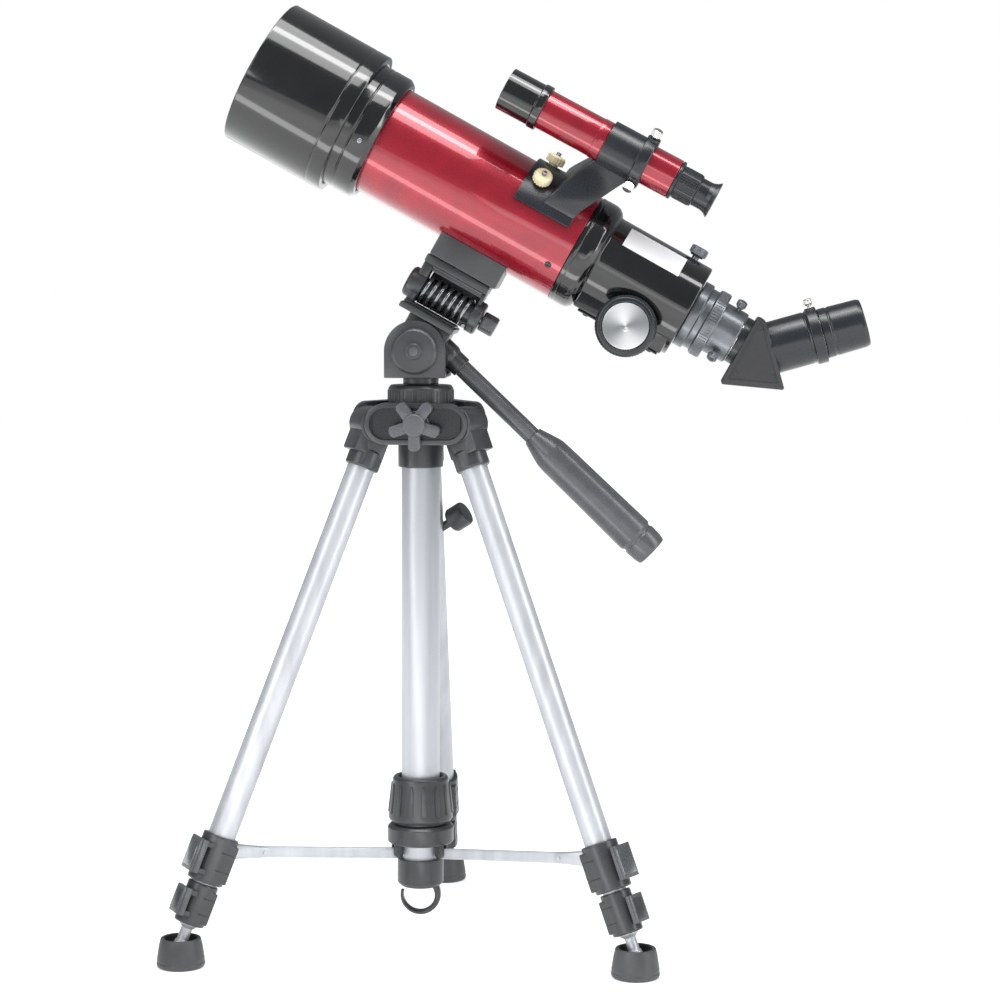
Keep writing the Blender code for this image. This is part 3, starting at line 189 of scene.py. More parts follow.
def plate(outline, low, high, place=None, round_by=0.0, edge=0.4):
    """Extrude an (x, z) outline along Y, with rounded edges."""
    if round_by:
        outline = soften(outline, round_by, 4, False)
    shell = bmesh.new()
    near = [shell.verts.new((x, low, z)) for x, z in outline]
    far = [shell.verts.new((x, high, z)) for x, z in outline]
    shell.faces.new(near)
    shell.faces.new(list(reversed(far)))
    for index in range(len(outline)):
        after = (index + 1) % len(outline)
        shell.faces.new([near[index], near[after], far[after], far[index]])
    bmesh.ops.recalc_face_normals(shell, faces=shell.faces)
    if edge:
        bevel_edges(shell, edge)
    return placed(shell, place)


def block(low, high, place=None, edge=0.5):
    """A box between two corners, with rounded edges."""
    shell = bmesh.new()
    bmesh.ops.create_cube(shell, size=1.0)
    middle = [(a + b) / 2 for a, b in zip(low, high)]
    size = [b - a for a, b in zip(low, high)]
    bmesh.ops.transform(shell, matrix=Matrix.Translation(middle) @ Matrix.Diagonal((*size, 1)),
                        verts=shell.verts)
    if edge:
        bevel_edges(shell, edge)
    return placed(shell, place)


def arc(centre, radius, start, end, steps):
    """Points on a circle from one angle to another, in degrees."""
    return [(centre[0] + radius * math.cos(math.radians(start + (end - start) * step / steps)),
             centre[1] + radius * math.sin(math.radians(start + (end - start) * step / steps)))
            for step in range(steps + 1)]


def obround(half_length, radius, middle, steps=14):
    """A flat shape with fully round ends, lying along X."""
    reach = half_length - radius
    return arc((reach, middle), radius, -90, 90, steps) + arc((-reach, middle), radius, 90, 270, steps)


def merge(shells):
    """Gather shells into one bmesh."""
    whole = bmesh.new()
    for shell in shells:
        mesh = bpy.data.meshes.new("part")
        shell.to_mesh(mesh)
        whole.from_mesh(mesh)
        shell.free()
        bpy.data.meshes.remove(mesh)
    return whole


def carve(shell, operation, *tools):
    """Join or cut a shell with others."""
    def as_object(source):
        mesh = bpy.data.meshes.new("work")
        source.to_mesh(mesh)
        source.free()
        item = bpy.data.objects.new("work", mesh)
        bpy.context.scene.collection.objects.link(item)
        return item

    body = as_object(shell)
    for tool in tools:
        other = as_object(tool)
        step = body.modifiers.new("carve", "BOOLEAN")
        step.operation = operation
        step.solver = "EXACT"
        step.object = other
        depsgraph = bpy.context.evaluated_depsgraph_get()
        result = bpy.data.meshes.new_from_object(body.evaluated_get(depsgraph))
        body.modifiers.clear()
        body.data = result
        bpy.data.objects.remove(other, do_unlink=True)
    whole = bmesh.new()
    whole.from_mesh(body.data)
    bpy.data.objects.remove(body, do_unlink=True)
    return whole


def piece(name, shells, material, body, nodes=(), angle=35, paint=()):
    """One finished object from shells in millimetres.

    Each entry in paint gives another material to the faces that pass its test."""
    whole = merge(shells if isinstance(shells, list) else [shells])
    bmesh.ops.scale(whole, vec=(0.001, 0.001, 0.001), verts=whole.verts)
    bmesh.ops.dissolve_degenerate(whole, dist=1e-7, edges=whole.edges)
    mesh = bpy.data.meshes.new(name)
    mesh.materials.append(material)
    for index, (other, test) in enumerate(paint, start=1):
        mesh.materials.append(other)
        for face in whole.faces:
            if test(face.calc_center_median() * 1000, face.normal):
                face.material_index = index
    whole.to_mesh(mesh)
    whole.free()
    mesh.shade_smooth()
    mesh.set_sharp_from_angle(angle=math.radians(angle))
    item = bpy.data.objects.new(name, mesh)
    bpy.context.scene.collection.objects.link(item)
    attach(item, body)
    if nodes:
        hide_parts(*nodes)
    return item


# ---------------------------------------------------------------- node helpers and patterns

def add(tree, kind, inputs=None, **settings):
    """Add a node with its settings, its values and its links."""
    node = tree.nodes.new(kind)
    for name, value in settings.items():
        setattr(node, name, value)
    for key, value in (inputs or {}).items():
        if isinstance(value, bpy.types.NodeSocket):
            tree.links.new(value, node.inputs[key])
        else:
            node.inputs[key].default_value = value
    return node


def geometry_tree(name, sizes):
    """An empty geometry tree with named number inputs, and its group input node."""
    tree = bpy.data.node_groups.new(name, "GeometryNodeTree")
    tree.interface.new_socket("Geometry", in_out="INPUT", socket_type="NodeSocketGeometry")
    for label, kind, value in sizes:
        socket = tree.interface.new_socket(label, in_out="INPUT", socket_type=kind)
        socket.default_value = value
    tree.interface.new_socket("Material", in_out="INPUT", socket_type="NodeSocketMaterial")
    tree.interface.new_socket("Geometry", in_out="OUTPUT", socket_type="NodeSocketGeometry")
    return tree, tree.nodes.new("NodeGroupInput")


def end_tree(tree, geometry, given):
    """Finish a geometry tree: real meshes in one material."""
    real = add(tree, "GeometryNodeRealizeInstances", {0: geometry})
    coated = add(tree, "GeometryNodeSetMaterial", {"Geometry": real.outputs[0],
                                                   "Material": given.outputs["Material"]})
    add(tree, "NodeGroupOutput", {0: coated.outputs[0]})


def peg_ring_tree():
    """Pegs in a ring about Z: ribs that stand along the axis, or screws that point out from it."""
    if "peg_ring" in bpy.data.node_groups:
        return bpy.data.node_groups["peg_ring"]
    tree, given = geometry_tree("peg_ring", [
        ("Count", "NodeSocketInt", 12), ("Ring Radius", "NodeSocketFloat", 10.0),
        ("Peg Radius", "NodeSocketFloat", 1.0),
        ("Peg Length", "NodeSocketFloat", 5.0), ("Height", "NodeSocketFloat", 0.0),
        ("Start", "NodeSocketFloat", 0.0),
        ("Turn", "NodeSocketVector", (0, 0, 0))])
    peg = add(tree, "GeometryNodeMeshCylinder", {"Vertices": 12, "Radius": given.outputs["Peg Radius"],
                                                 "Depth": given.outputs["Peg Length"]})
    offset = add(tree, "ShaderNodeCombineXYZ", {0: given.outputs["Ring Radius"], 2: given.outputs["Height"]})
    moved = add(tree, "GeometryNodeTransform", {"Geometry": peg.outputs["Mesh"],
                                                "Translation": offset.outputs[0],
                                                "Rotation": given.outputs["Turn"]})
    line = add(tree, "GeometryNodeMeshLine", {"Count": given.outputs["Count"], "Offset": (0, 0, 0)})
    share = add(tree, "ShaderNodeMath", {0: 2 * math.pi, 1: given.outputs["Count"]}, operation="DIVIDE")
    index = add(tree, "GeometryNodeInputIndex")
    angle = add(tree, "ShaderNodeMath", {0: index.outputs[0], 1: share.outputs[0],
                                         2: given.outputs["Start"]},
                operation="MULTIPLY_ADD")
    spin = add(tree, "ShaderNodeCombineXYZ", {2: angle.outputs[0]})
    copies = add(tree, "GeometryNodeInstanceOnPoints", {"Points": line.outputs[0],
                                                        "Instance": moved.outputs[0],
                                                        "Rotation": spin.outputs[0]})
    end_tree(tree, copies.outputs[0], given)
    return tree


def coil_tree():
    """A round-wire spring along Z."""
    if "coil" in bpy.data.node_groups:
        return bpy.data.node_groups["coil"]
    tree, given = geometry_tree("coil", [
        ("Turns", "NodeSocketFloat", 6.0), ("Radius", "NodeSocketFloat", 9.0), ("Wire", "NodeSocketFloat",
                                                                                1.0),
        ("Height", "NodeSocketFloat", 30.0)])
    spiral = add(tree, "GeometryNodeCurveSpiral", {
        "Resolution": 40, "Rotations": given.outputs["Turns"], "Start Radius": given.outputs["Radius"],
        "End Radius": given.outputs["Radius"], "Height": given.outputs["Height"]})
    wire = add(tree, "GeometryNodeCurvePrimitiveCircle", {"Resolution": 12, "Radius": given.outputs["Wire"]})
    solid = add(tree, "GeometryNodeCurveToMesh", {"Curve": spiral.outputs[0],
                                                  "Profile Curve": wire.outputs[0],
                                                  "Fill Caps": True})
    end_tree(tree, solid.outputs[0], given)
    return tree


def grown(tree, material, sizes, place):
    """Run a geometry tree with these sizes and return its mesh as a placed shell."""
    host = bpy.data.objects.new("host", bpy.data.meshes.new("host"))
    bpy.context.scene.collection.objects.link(host)
    step = host.modifiers.new("grow", "NODES")
    step.node_group = tree
    sockets = {item.name: item.identifier for item in tree.interface.items_tree if item.in_out == "INPUT"}
    for label, value in {**sizes, "Material": material}.items():
        step[sockets[label]] = value
    depsgraph = bpy.context.evaluated_depsgraph_get()
    mesh = bpy.data.meshes.new_from_object(host.evaluated_get(depsgraph))
    bpy.data.objects.remove(host, do_unlink=True)
    shell = bmesh.new()
    shell.from_mesh(mesh)
    for face in shell.faces:
        face.material_index = 0
    bmesh.ops.transform(shell, matrix=place, verts=shell.verts)
    bmesh.ops.recalc_face_normals(shell, faces=shell.faces)
    return shell


def ribs(material, count, ring_radius, peg_radius, length, height, place, start=0.0, turn=(0, 0, 0)):
    """A ring of round ribs about Z, for knurled edges."""
    return grown(peg_ring_tree(), material, {
        "Count": count, "Ring Radius": float(ring_radius), "Peg Radius": float(peg_radius),
        "Peg Length": float(length), "Height": float(height), "Start": math.radians(start), "Turn": turn},
                 place)


def thumbscrew(material, radius, stem, head, place, count=20):
    """A knurled thumbscrew standing up Z: shank, shoulder and ribbed head."""
    return [rod(radius * 0.42, -2.0, stem + 0.5, place, 24),
            lathe([(0, stem), (radius * 0.72, stem), (radius * 0.78, stem + 0.9), (radius - 0.3, stem + 1.3),
                   (radius - 0.3, stem + head - 0.5), (radius * 0.6, stem + head), (0, stem + head)], 40,
                  place, 0.3),
            ribs(material, count, radius - 0.35, 0.42, head - 2.0, stem + 1.3 + (head - 1.8) / 2, place)]


def pan_head_screw(radius, height, place):
    """A domed screw head with a straight slot, standing up Z."""
    head = lathe([(0, -0.6), (radius, -0.6), (radius, height * 0.35), (radius * 0.75, height * 0.85),
                  (0, height)],
                 32, place, 0.3)
    slot_cut = block((-radius * 2, -radius * 0.13, height * 0.45), (radius * 2, radius * 0.13, height * 2),
                     place, 0)
    return carve(head, "DIFFERENCE", slot_cut)


def out_from(place, azimuth, distance, along):
    """A place on a round piece whose axis is X: Z points out of the surface."""
    return (place @ Matrix.Translation((along, 0, 0)) @ Matrix.Rotation(math.radians(azimuth), 4, "X")
            @ Matrix.Translation((0, 0, distance)))


# ---------------------------------------------------------------- finishes

def surface(name, base, shade, metallic, rough, grain, depth, stretch=(1, 1, 1), coat=0.0, coat_rough=0.1,
            specular=0.5):
    """A finish whose colour drifts from base to shade and whose gloss drifts between two roughness values.

    Its surface rises and falls by depth millimetres, at a grain in millimetres."""
    if name in bpy.data.materials:
        return bpy.data.materials[name]
    material = bpy.data.materials.new(name)
    material.use_nodes = True
    tree = material.node_tree
    shader = tree.nodes["Principled BSDF"]
    shader.inputs["Metallic"].default_value = metallic
    shader.inputs["Coat Weight"].default_value = coat
    shader.inputs["Coat Roughness"].default_value = coat_rough
    shader.inputs["Specular IOR Level"].default_value = specular
    place = add(tree, "ShaderNodeTexCoord")
    drawn = add(tree, "ShaderNodeMapping", {"Vector": place.outputs["Object"], "Scale": stretch})
    broad = add(tree, "ShaderNodeTexNoise", {"Vector": drawn.outputs[0], "Scale": 1000 / (grain * 18),
                                             "Detail": 3.0})
    fine = add(tree, "ShaderNodeTexNoise", {"Vector": drawn.outputs[0], "Scale": 1000 / grain,
                                            "Detail": 2.0})
    tint = add(tree, "ShaderNodeValToRGB", {"Fac": broad.outputs["Fac"]})
    tint.color_ramp.elements[0].position = 0.3
    tint.color_ramp.elements[0].color = (*srgb(shade), 1)
    tint.color_ramp.elements[1].position = 0.7
    tint.color_ramp.elements[1].color = (*srgb(base), 1)
    gloss = add(tree, "ShaderNodeMapRange", {"Value": fine.outputs["Fac"], "From Min": 0.3, "From Max": 0.7,
                                             "To Min": rough[0], "To Max": rough[1]})
    relief = add(tree, "ShaderNodeBump", {"Height": fine.outputs["Fac"], "Distance": depth * 0.001,
                                          "Strength": 0.6})
    tree.links.new(tint.outputs["Color"], shader.inputs["Base Color"])
    tree.links.new(gloss.outputs["Result"], shader.inputs["Roughness"])
    tree.links.new(relief.outputs["Normal"], shader.inputs["Normal"])
    return material


def finishes():
    """Every finish on the telescope and its tripod, by short name."""
    colours = bpy.context.scene.telescope_colours
    return {
        # metallic enamel under clear lacquer: deep red, with a soft sparkle and a hard shine
        "red": surface("burgundy_metallic_enamel", colours.tube, "#860b20", 0.45, (0.26, 0.29), 0.9, 0.0008,
                       coat=1.0, coat_rough=0.04),
        # black stoved enamel on aluminium: near black with a clean gloss
        "black": surface("black_stoved_enamel", colours.fittings, "#0c0c0d", 0.0, (0.1, 0.17), 1.2, 0.006,
                         coat=0.6, coat_rough=0.05),
        # black flock paint inside the tubes: no shine at all
        "flat_black": surface("flat_black_paint", "#141415", "#0c0c0d", 0.0, (0.85, 0.95), 0.8, 0.05,
                              specular=0.2),
        # moulded ABS, satin: dark with a blue cast; also the painted shade on the floors of the chassis
        # pockets
        "satin": surface("satin_black_abs", "#1e2126", "#181a1e", 0.0, (0.25, 0.29), 0.9, 0.001),
        # moulded ABS with a fine spark grain: charcoal, with a broad dull shine
        "diagonal": surface("dark_grey_moulded_abs", "#2b2b2d", "#242426", 0.0, (0.42, 0.52), 0.8, 0.015),
        # glass-filled nylon: mid grey, a fine moulded grain and soft edges
        "nylon": surface("grey_glass_filled_nylon", colours.plastic, "#2f3032", 0.0, (0.28, 0.34), 0.7,
                         0.002),
        # unfilled moulded nylon: a lighter grey, smoother and a little glossier
        "light_nylon": surface("mid_grey_moulded_nylon", "#505155", "#46474a", 0.0, (0.24, 0.3), 0.7, 0.001),
        # silver anodised aluminium, drawn: pale, with faint long streaks
        "drawn": surface("drawn_anodised_aluminium", colours.metal, "#a9abb0", 0.45, (0.34, 0.42), 0.5,
                         0.003,
                         (1, 1, 0.05)),
        # turned and anodised aluminium: a mid grey metal with a soft shine
        "turned": surface("turned_grey_anodised_aluminium", "#777a7e", "#64676b", 0.8, (0.26, 0.34), 0.4,
                          0.002),
        # zinc plated steel wire and screws: bright and slightly uneven
        "steel": surface("bright_zinc_plated_steel", "#8f9194", "#7d7f82", 0.9, (0.18, 0.28), 0.6, 0.004),
        # nickel on turned brass: a warm near mirror
        "chrome": surface("nickel_plated_brass", "#d8d6d2", "#c9c7c3", 1.0, (0.08, 0.14), 0.8, 0.002),
        # moulded rubber: mid grey, with a soft spread highlight
        "rubber": surface("grey_moulded_rubber", "#434446", "#38393b", 0.0, (0.42, 0.54), 0.9, 0.02),
        # rubber and cork compound: almost black and dull; also the painted shade inside the feet's sockets
        "dark_rubber": surface("black_moulded_rubber", "#232425", "#1a1b1c", 0.0, (0.6, 0.75), 0.9, 0.05),
        # natural nylon: ivory, with a waxy shine
        "cream": surface("cream_nylon", "#d9cfae", "#cbc09c", 0.0, (0.35, 0.45), 0.8, 0.02),
        # white vinyl film: flat, clean and faintly glossy
        "label": surface("white_vinyl_label", "#f1f1f2", "#e8e8ea", 0.0, (0.3, 0.38), 2.0, 0.004),
        # circular brushed aluminium, its sheen painted into the colour as light and dark wedges
        "brushed": radial_brushed_painted_sheen(),
        "glass": coated_glass(),
    }


def radial_brushed_painted_sheen():
    """Aluminium plate brushed in circles about the focus wheels' axis.

    Its colour is painted with light and dark wedges that meet at the middle: a painted sheen of the circular
    brushing."""
    if "circular_brushed_aluminium_painted_sheen" in bpy.data.materials:
        return bpy.data.materials["circular_brushed_aluminium_painted_sheen"]
    material = bpy.data.materials.new("circular_brushed_aluminium_painted_sheen")
    material.use_nodes = True
    tree = material.node_tree
    shader = tree.nodes["Principled BSDF"]
    shader.inputs["Metallic"].default_value = 0.55
    shader.inputs["Roughness"].default_value = 0.34
    middle = OPTICS @ PINION * 0.001
    place = add(tree, "ShaderNodeTexCoord")
    centred = add(tree, "ShaderNodeVectorMath", {0: place.outputs["Object"], 1: middle},
                  operation="SUBTRACT")
    apart = add(tree, "ShaderNodeSeparateXYZ", {0: centred.outputs[0]})
    # painted sheen: the colour swings between light and dark twice each turn about the pinion axis
    angle = add(tree, "ShaderNodeMath", {0: apart.outputs["X"], 1: apart.outputs["Z"]}, operation="ARCTAN2")
    turns = add(tree, "ShaderNodeMath", {0: angle.outputs[0], 1: 2.0, 2: 0.5}, operation="MULTIPLY_ADD")
    wave = add(tree, "ShaderNodeMath", {0: turns.outputs[0]}, operation="COSINE")
    level = add(tree, "ShaderNodeMapRange", {"Value": wave.outputs[0], "From Min": -1.0, "From Max": 1.0})
    tint = add(tree, "ShaderNodeValToRGB", {"Fac": level.outputs["Result"]})
    tint.color_ramp.elements[0].color = (*srgb("#77797b"), 1)
    tint.color_ramp.elements[1].color = (*srgb("#c9cacb"), 1)
    tree.links.new(tint.outputs["Color"], shader.inputs["Base Color"])
    return material


def coated_glass():
    """Optical glass with a green magnesium fluoride coating, whose reflection is painted into its colour,
    growing towards grazing angles.
    """
    if "coated_optical_glass" in bpy.data.materials:
        return bpy.data.materials["coated_optical_glass"]
    material = bpy.data.materials.new("coated_optical_glass")
    material.use_nodes = True
    tree = material.node_tree
    shader = tree.nodes["Principled BSDF"]
    shader.inputs["Roughness"].default_value = 0.02
    shader.inputs["IOR"].default_value = 1.52
    shader.inputs["Coat Weight"].default_value = 0.5
    shader.inputs["Coat Roughness"].default_value = 0.02
    facing = add(tree, "ShaderNodeLayerWeight", {"Blend": 0.35})
    # painted reflection: dark face on, green towards the rim
    painted_bloom_reflection = add(tree, "ShaderNodeValToRGB", {"Fac": facing.outputs["Facing"]})
    painted_bloom_reflection.color_ramp.elements[0].color = (*srgb("#0a1512"), 1)
    painted_bloom_reflection.color_ramp.elements[1].color = (*srgb("#3f6f66"), 1)
    tree.links.new(painted_bloom_reflection.outputs["Color"], shader.inputs["Base Color"])
    return material


# ---------------------------------------------------------------- optical tube

def build_tube(sizes):
    """Dew shield, objective cell and lens, and the main tube."""
    look = finishes()
    place = OPTICS @ ALONG_X
    inverse = OPTICS.inverted()
    outer = sizes.shield_radius
    shield = lathe([(outer - 2.4, -111.8), (outer - 0.3, -111.8), (outer - 0.3, -50.6), (outer - 0.7, -50.2),
                    (outer - 0.7, -49.7), (outer - 0.3, -49.3), (outer - 0.3, -39.2), (44.3, -39.2),
                    (44.3, -41.4),
                    (outer - 2.4, -41.4)], 128, place, 1.0)

    def inside(point, normal):
        local = inverse @ point
        radial = Vector((0, local.y, local.z))
        return radial.length < outer - 1.6 and local.x < -42

    piece("dew_shield_shell", shield, look["black"], "tilt_top", ["dew_shield"], paint=[
        (look["flat_black"], inside)])
    cell = lathe([(46, -60), (47.5, -58.5), (47.5, -41.7), (44, -41.7), (44, -33.4), (43.4, -33.0),
                  (43.4, -32.4),
                  (44, -32.0), (44, -20.5), (41.6, -17.2), (38.0, -17.2), (38.0, -38), (35, -38),
                  (35, -44.7),
                  (38.2, -44.7), (38.2, -60)], 128, place, 0.5)
    piece("objective_cell_ring", cell, look["black"], "tilt_top", ["objective_cell"])
    retainer = pipe(38.1, 35.4, -55.6, -53.4, place, 96)
    piece("lens_retaining_ring", retainer, look["flat_black"], "tilt_top")
    front = [(37.9 * step / 12, -52.0 - 2.4 * (1 - (step / 12) ** 2)) for step in range(13)]
    back = [(37.9 * step / 12, -45.0) for step in range(12, -1, -1)]
    piece("objective_glass", lathe(front + back, 96, place, 0), look["glass"], "tilt_top",
          ["objective_lens"])
    tube = pipe(sizes.tube_radius, sizes.tube_radius - 1.5, -37.7, 130, place, 160, 0.25)
    piece("main_tube_shell", tube, look["red"], "tilt_top", ["main_tube"], paint=[
        (look["flat_black"], lambda point, normal: (inverse @ point).yz.length < sizes.tube_radius - 0.8)])
    screws = [pan_head_screw(2.3, 1.3, out_from(OPTICS, azimuth, 37.6, 121)) for azimuth in (118, 238, 358)]
    piece("cell_screws", screws, look["black"], "tilt_top")
    collars = [pan_head_screw(1.8, 1.0, out_from(OPTICS, azimuth, 43.9, -26)) for azimuth in (100, 220, 340)]
    piece("objective_screws", collars, look["steel"], "tilt_top")


def build_focuser():
    """Focuser casting, blank label, drawtube, and the wheels on the pinion shaft."""
    look = finishes()
    place = OPTICS @ ALONG_X
    profile = [(29.6, 117), (35.9, 117), (35.9, 130.3), (38.2, 130.3), (38.2, 133.2), (37.9, 133.6),
               (38.2, 134.0),
               (38.2, 140.6), (37.6, 143.4), (35.6, 146.2), (32.7, 147.9), (32.5, 149.4), (32.5, 216.2),
               (31.6, 217), (19.4, 217), (19.4, 205), (29.6, 205)]
    body = lathe(profile, 128, place, 0.7)
    housing = block((147.6, -23.9, -33.2), (213.8, 23.9, -20.6), OPTICS, 1.4)
    body = carve(body, "UNION", housing)
    body = carve(body, "DIFFERENCE", rod(29.6, 125, 205, place, 96, 0), block((203, -4.6, -25),
                                                                              (220, 4.6, 0), OPTICS, 0),
                 rod(2.5, -70, 70, PINION_AXIS, 24, 0),
                 rod(4.8, -7, 7, PINION_AXIS, 32, 0))
    piece("focuser_casting", body, look["black"], "tilt_top", ["focuser_body"], 32)
    trim = [block((152, -23.4, -34.8), (212, 23.4, -33.4), OPTICS, 0.5)]
    for along in (158, 206):
        for side in (-17, 17):
            trim.append(pan_head_screw(2.0, 1.1, OPTICS @ Matrix.Translation((along, side, -34.8))
                                       @ Matrix.Rotation(math.pi, 4, "X")))
    piece("pinion_cover", trim, look["satin"], "tilt_top")
    # blank curved plate on the upper near side
    patch = bmesh.new()
    rows = []
    for step in range(17):
        angle = math.radians(24 + 34 * step / 16)
        rows.append([patch.verts.new((along, -radius * math.sin(angle), radius * math.cos(angle)))
                     for along, radius in ((157, 32.52), (157, 32.75), (199, 32.75), (199, 32.52))])
    for first, second in zip(rows, rows[1:]):
        for index in range(4):
            after = (index + 1) % 4
            patch.faces.new([first[index], first[after], second[after], second[index]])
    patch.faces.new(rows[0])
    patch.faces.new(list(reversed(rows[-1])))
    piece("blank_label", placed(patch, OPTICS), look["label"], "tilt_top")
    piece("focus_lock_screw", thumbscrew(look["turned"], 6.0, 2.2, 7.0, out_from(OPTICS, 0, 32.2, 203), 26),
          look["turned"], "tilt_top")

    turned = lathe([(16.3, 152), (19, 152), (19, 217.4), (23.5, 217.4), (23.5, 223.6), (21.6, 224.4),
                    (21.6, 228.6),
                  (23.5, 229.4), (23.5, 237), (18.2, 237), (18.2, 252.2), (17.6, 253), (16.3, 253)], 96,
                   place, 0.5)
    draw = [turned, ribs(look["turned"], 72, 23.35, 0.42, 5.6, 233.2, place),
            plate([(158, -18.2), (158, -23.1), (213, -23.1), (213, -18.2)], -4, 4, OPTICS)]
    for azimuth in (20, 140, 260):
        draw += thumbscrew(look["steel"], 3.4, 2.6, 5.4, out_from(OPTICS, azimuth, 17.6, 245), 14)
    piece("drawtube_turned", draw, look["turned"], "draw", ["drawtube"])

    knobs = [rod(2.0, -36, 36, PINION_AXIS, 32), rod(3.5, -5, 5, PINION_AXIS, 32)]
    plates = []
    for side in (-1, 1):
        turn = PINION_AXIS if side > 0 else PINION_AXIS @ Matrix.Rotation(math.pi, 4, "X")
        knobs += [lathe([(0, 31.5), (7.6, 31.5), (7.6, 34), (19.4, 34), (20.3, 34.8), (20.3, 43),
                         (18.6, 45.4),
                         (16.2, 45.9), (15.6, 45.0), (0, 45.0)], 96, turn, 0.5),
                  ribs(look["satin"], 60, 20.0, 0.5, 7.4, 38.9, turn)]
        plates.append(lathe([(0, 44.9), (15.3, 44.9), (15.3, 45.5), (14.6, 45.8), (3.4, 45.8), (3.0, 45.3),
                             (0, 45.3)], 96, turn, 0.2))
    piece("focus_wheels", knobs, look["satin"], "focuser_knobs", ["focus_knobs"])
    piece("focus_wheel_plates", plates, look["brushed"], "focuser_knobs")


def build_diagonal():
    """Mirror casing, nosepiece, eyepiece holder and eyepiece."""
    look = finishes()
    bend = OPTICS @ Matrix.Translation((270.6, 0, 0))
    tip = bend @ Matrix.Rotation(math.radians(45), 4, "Y")
    left = -12.1
    top = 20.4
    outline = [(left, -31.0), (27.0, 13.435 - 27.0), (13.435 - top, top), (left, top)]
    housing = [plate(outline, -14.9, 14.9, bend, 2.2, 0.9)]
    for side in (-1, 1):
        low, high = sorted((side * 14.7, side * 17.4))
        cover = plate(soften(outline, 2.2, 4, False), low, high, bend, 0, 0.7)
        inset = [(left + 2.6, -25.6), (21.2, 13.435 - 25.2), (13.435 - top - 1.2, top - 2.6),
                 (left + 2.6, top - 2.6)]
        low, high = sorted((side * 16.9, side * 18.5))
        housing.append(carve(cover, "DIFFERENCE", plate(inset, low, high, bend, 1.5, 0)))
        for along, up in ((left + 6, -19), (15.5, -8.6), (left + 6, top - 7)):
            screw = bend @ Matrix.Translation((along, side * 16.8,
                                               up)) @ Matrix.Rotation(math.radians(-90 * side), 4, "X")
            housing.append(pan_head_screw(1.5, 0.5, screw))
    piece("diagonal_casing", housing, look["diagonal"], "diagonal", ["diagonal_housing"])
    nose = [lathe([(14.3, -36.6), (15.9, -36.6), (15.9, -17), (14.3, -17)], 80, bend @ ALONG_X, 0.3)]
    piece("diagonal_nosepiece", nose, look["chrome"], "diagonal")
    sleeve = [lathe([(14.3, -17.2), (16.6, -17.2), (16.6, left + 0.6), (14.3, left + 0.6)], 80,
                    bend @ ALONG_X, 0.4),
              lathe([(16.2, 8.0), (17.6, 8.0), (17.6, 33.6), (17.2, 34.2), (17.2, 34.8), (17.6, 35.4),
                     (17.8, 35.8),
                     (19.1, 36.4), (19.1, 43.1), (18.4, 43.4), (16.2, 43.4)], 80, tip, 0.4),
              lathe([(13.3, 6), (16.4, 6), (16.4, 12.4), (13.3, 12.4)], 64, tip, 0.2)]
    piece("eyepiece_holder", sleeve, look["satin"], "diagonal")
    screw_place = (tip @ Matrix.Translation((0, 0, 39.8)) @ Matrix.Rotation(math.radians(-90), 4, "Y")
                   @ Matrix.Translation((0, 0, 18.6)))
    piece("holder_thumbscrew", thumbscrew(look["chrome"], 3.2, 2.0, 4.6, screw_place, 14), look["chrome"],
          "diagonal")
    barrel = lathe([(14.7, 14), (15.9, 14), (15.9, 43.8), (14.7, 43.8)], 80, tip, 0.3)
    piece("eyepiece_barrel", barrel, look["chrome"], "ocular")
    crown = [lathe([(11, 43.8), (16.8, 43.8), (16.8, 49.0), (16.3, 49.5), (16.3, 50.3), (16.7, 50.8),
                    (16.5, 58),
                    (16.3, 69.8), (15.6, 72.4), (13.9, 73), (12.4, 72.2), (9.4, 68.6), (9.4, 62), (11, 60)],
                   96, tip, 0.5)]
    piece("eyepiece_crown", crown, look["satin"], "ocular", ["eyepiece"])
    lens = lathe([(0, 62.4), (10.4, 62.4), (10.4, 64.6), (7.5, 66.2), (0, 67.0)], 64, tip, 0.2)
    piece("eye_lens", lens, look["glass"], "ocular")


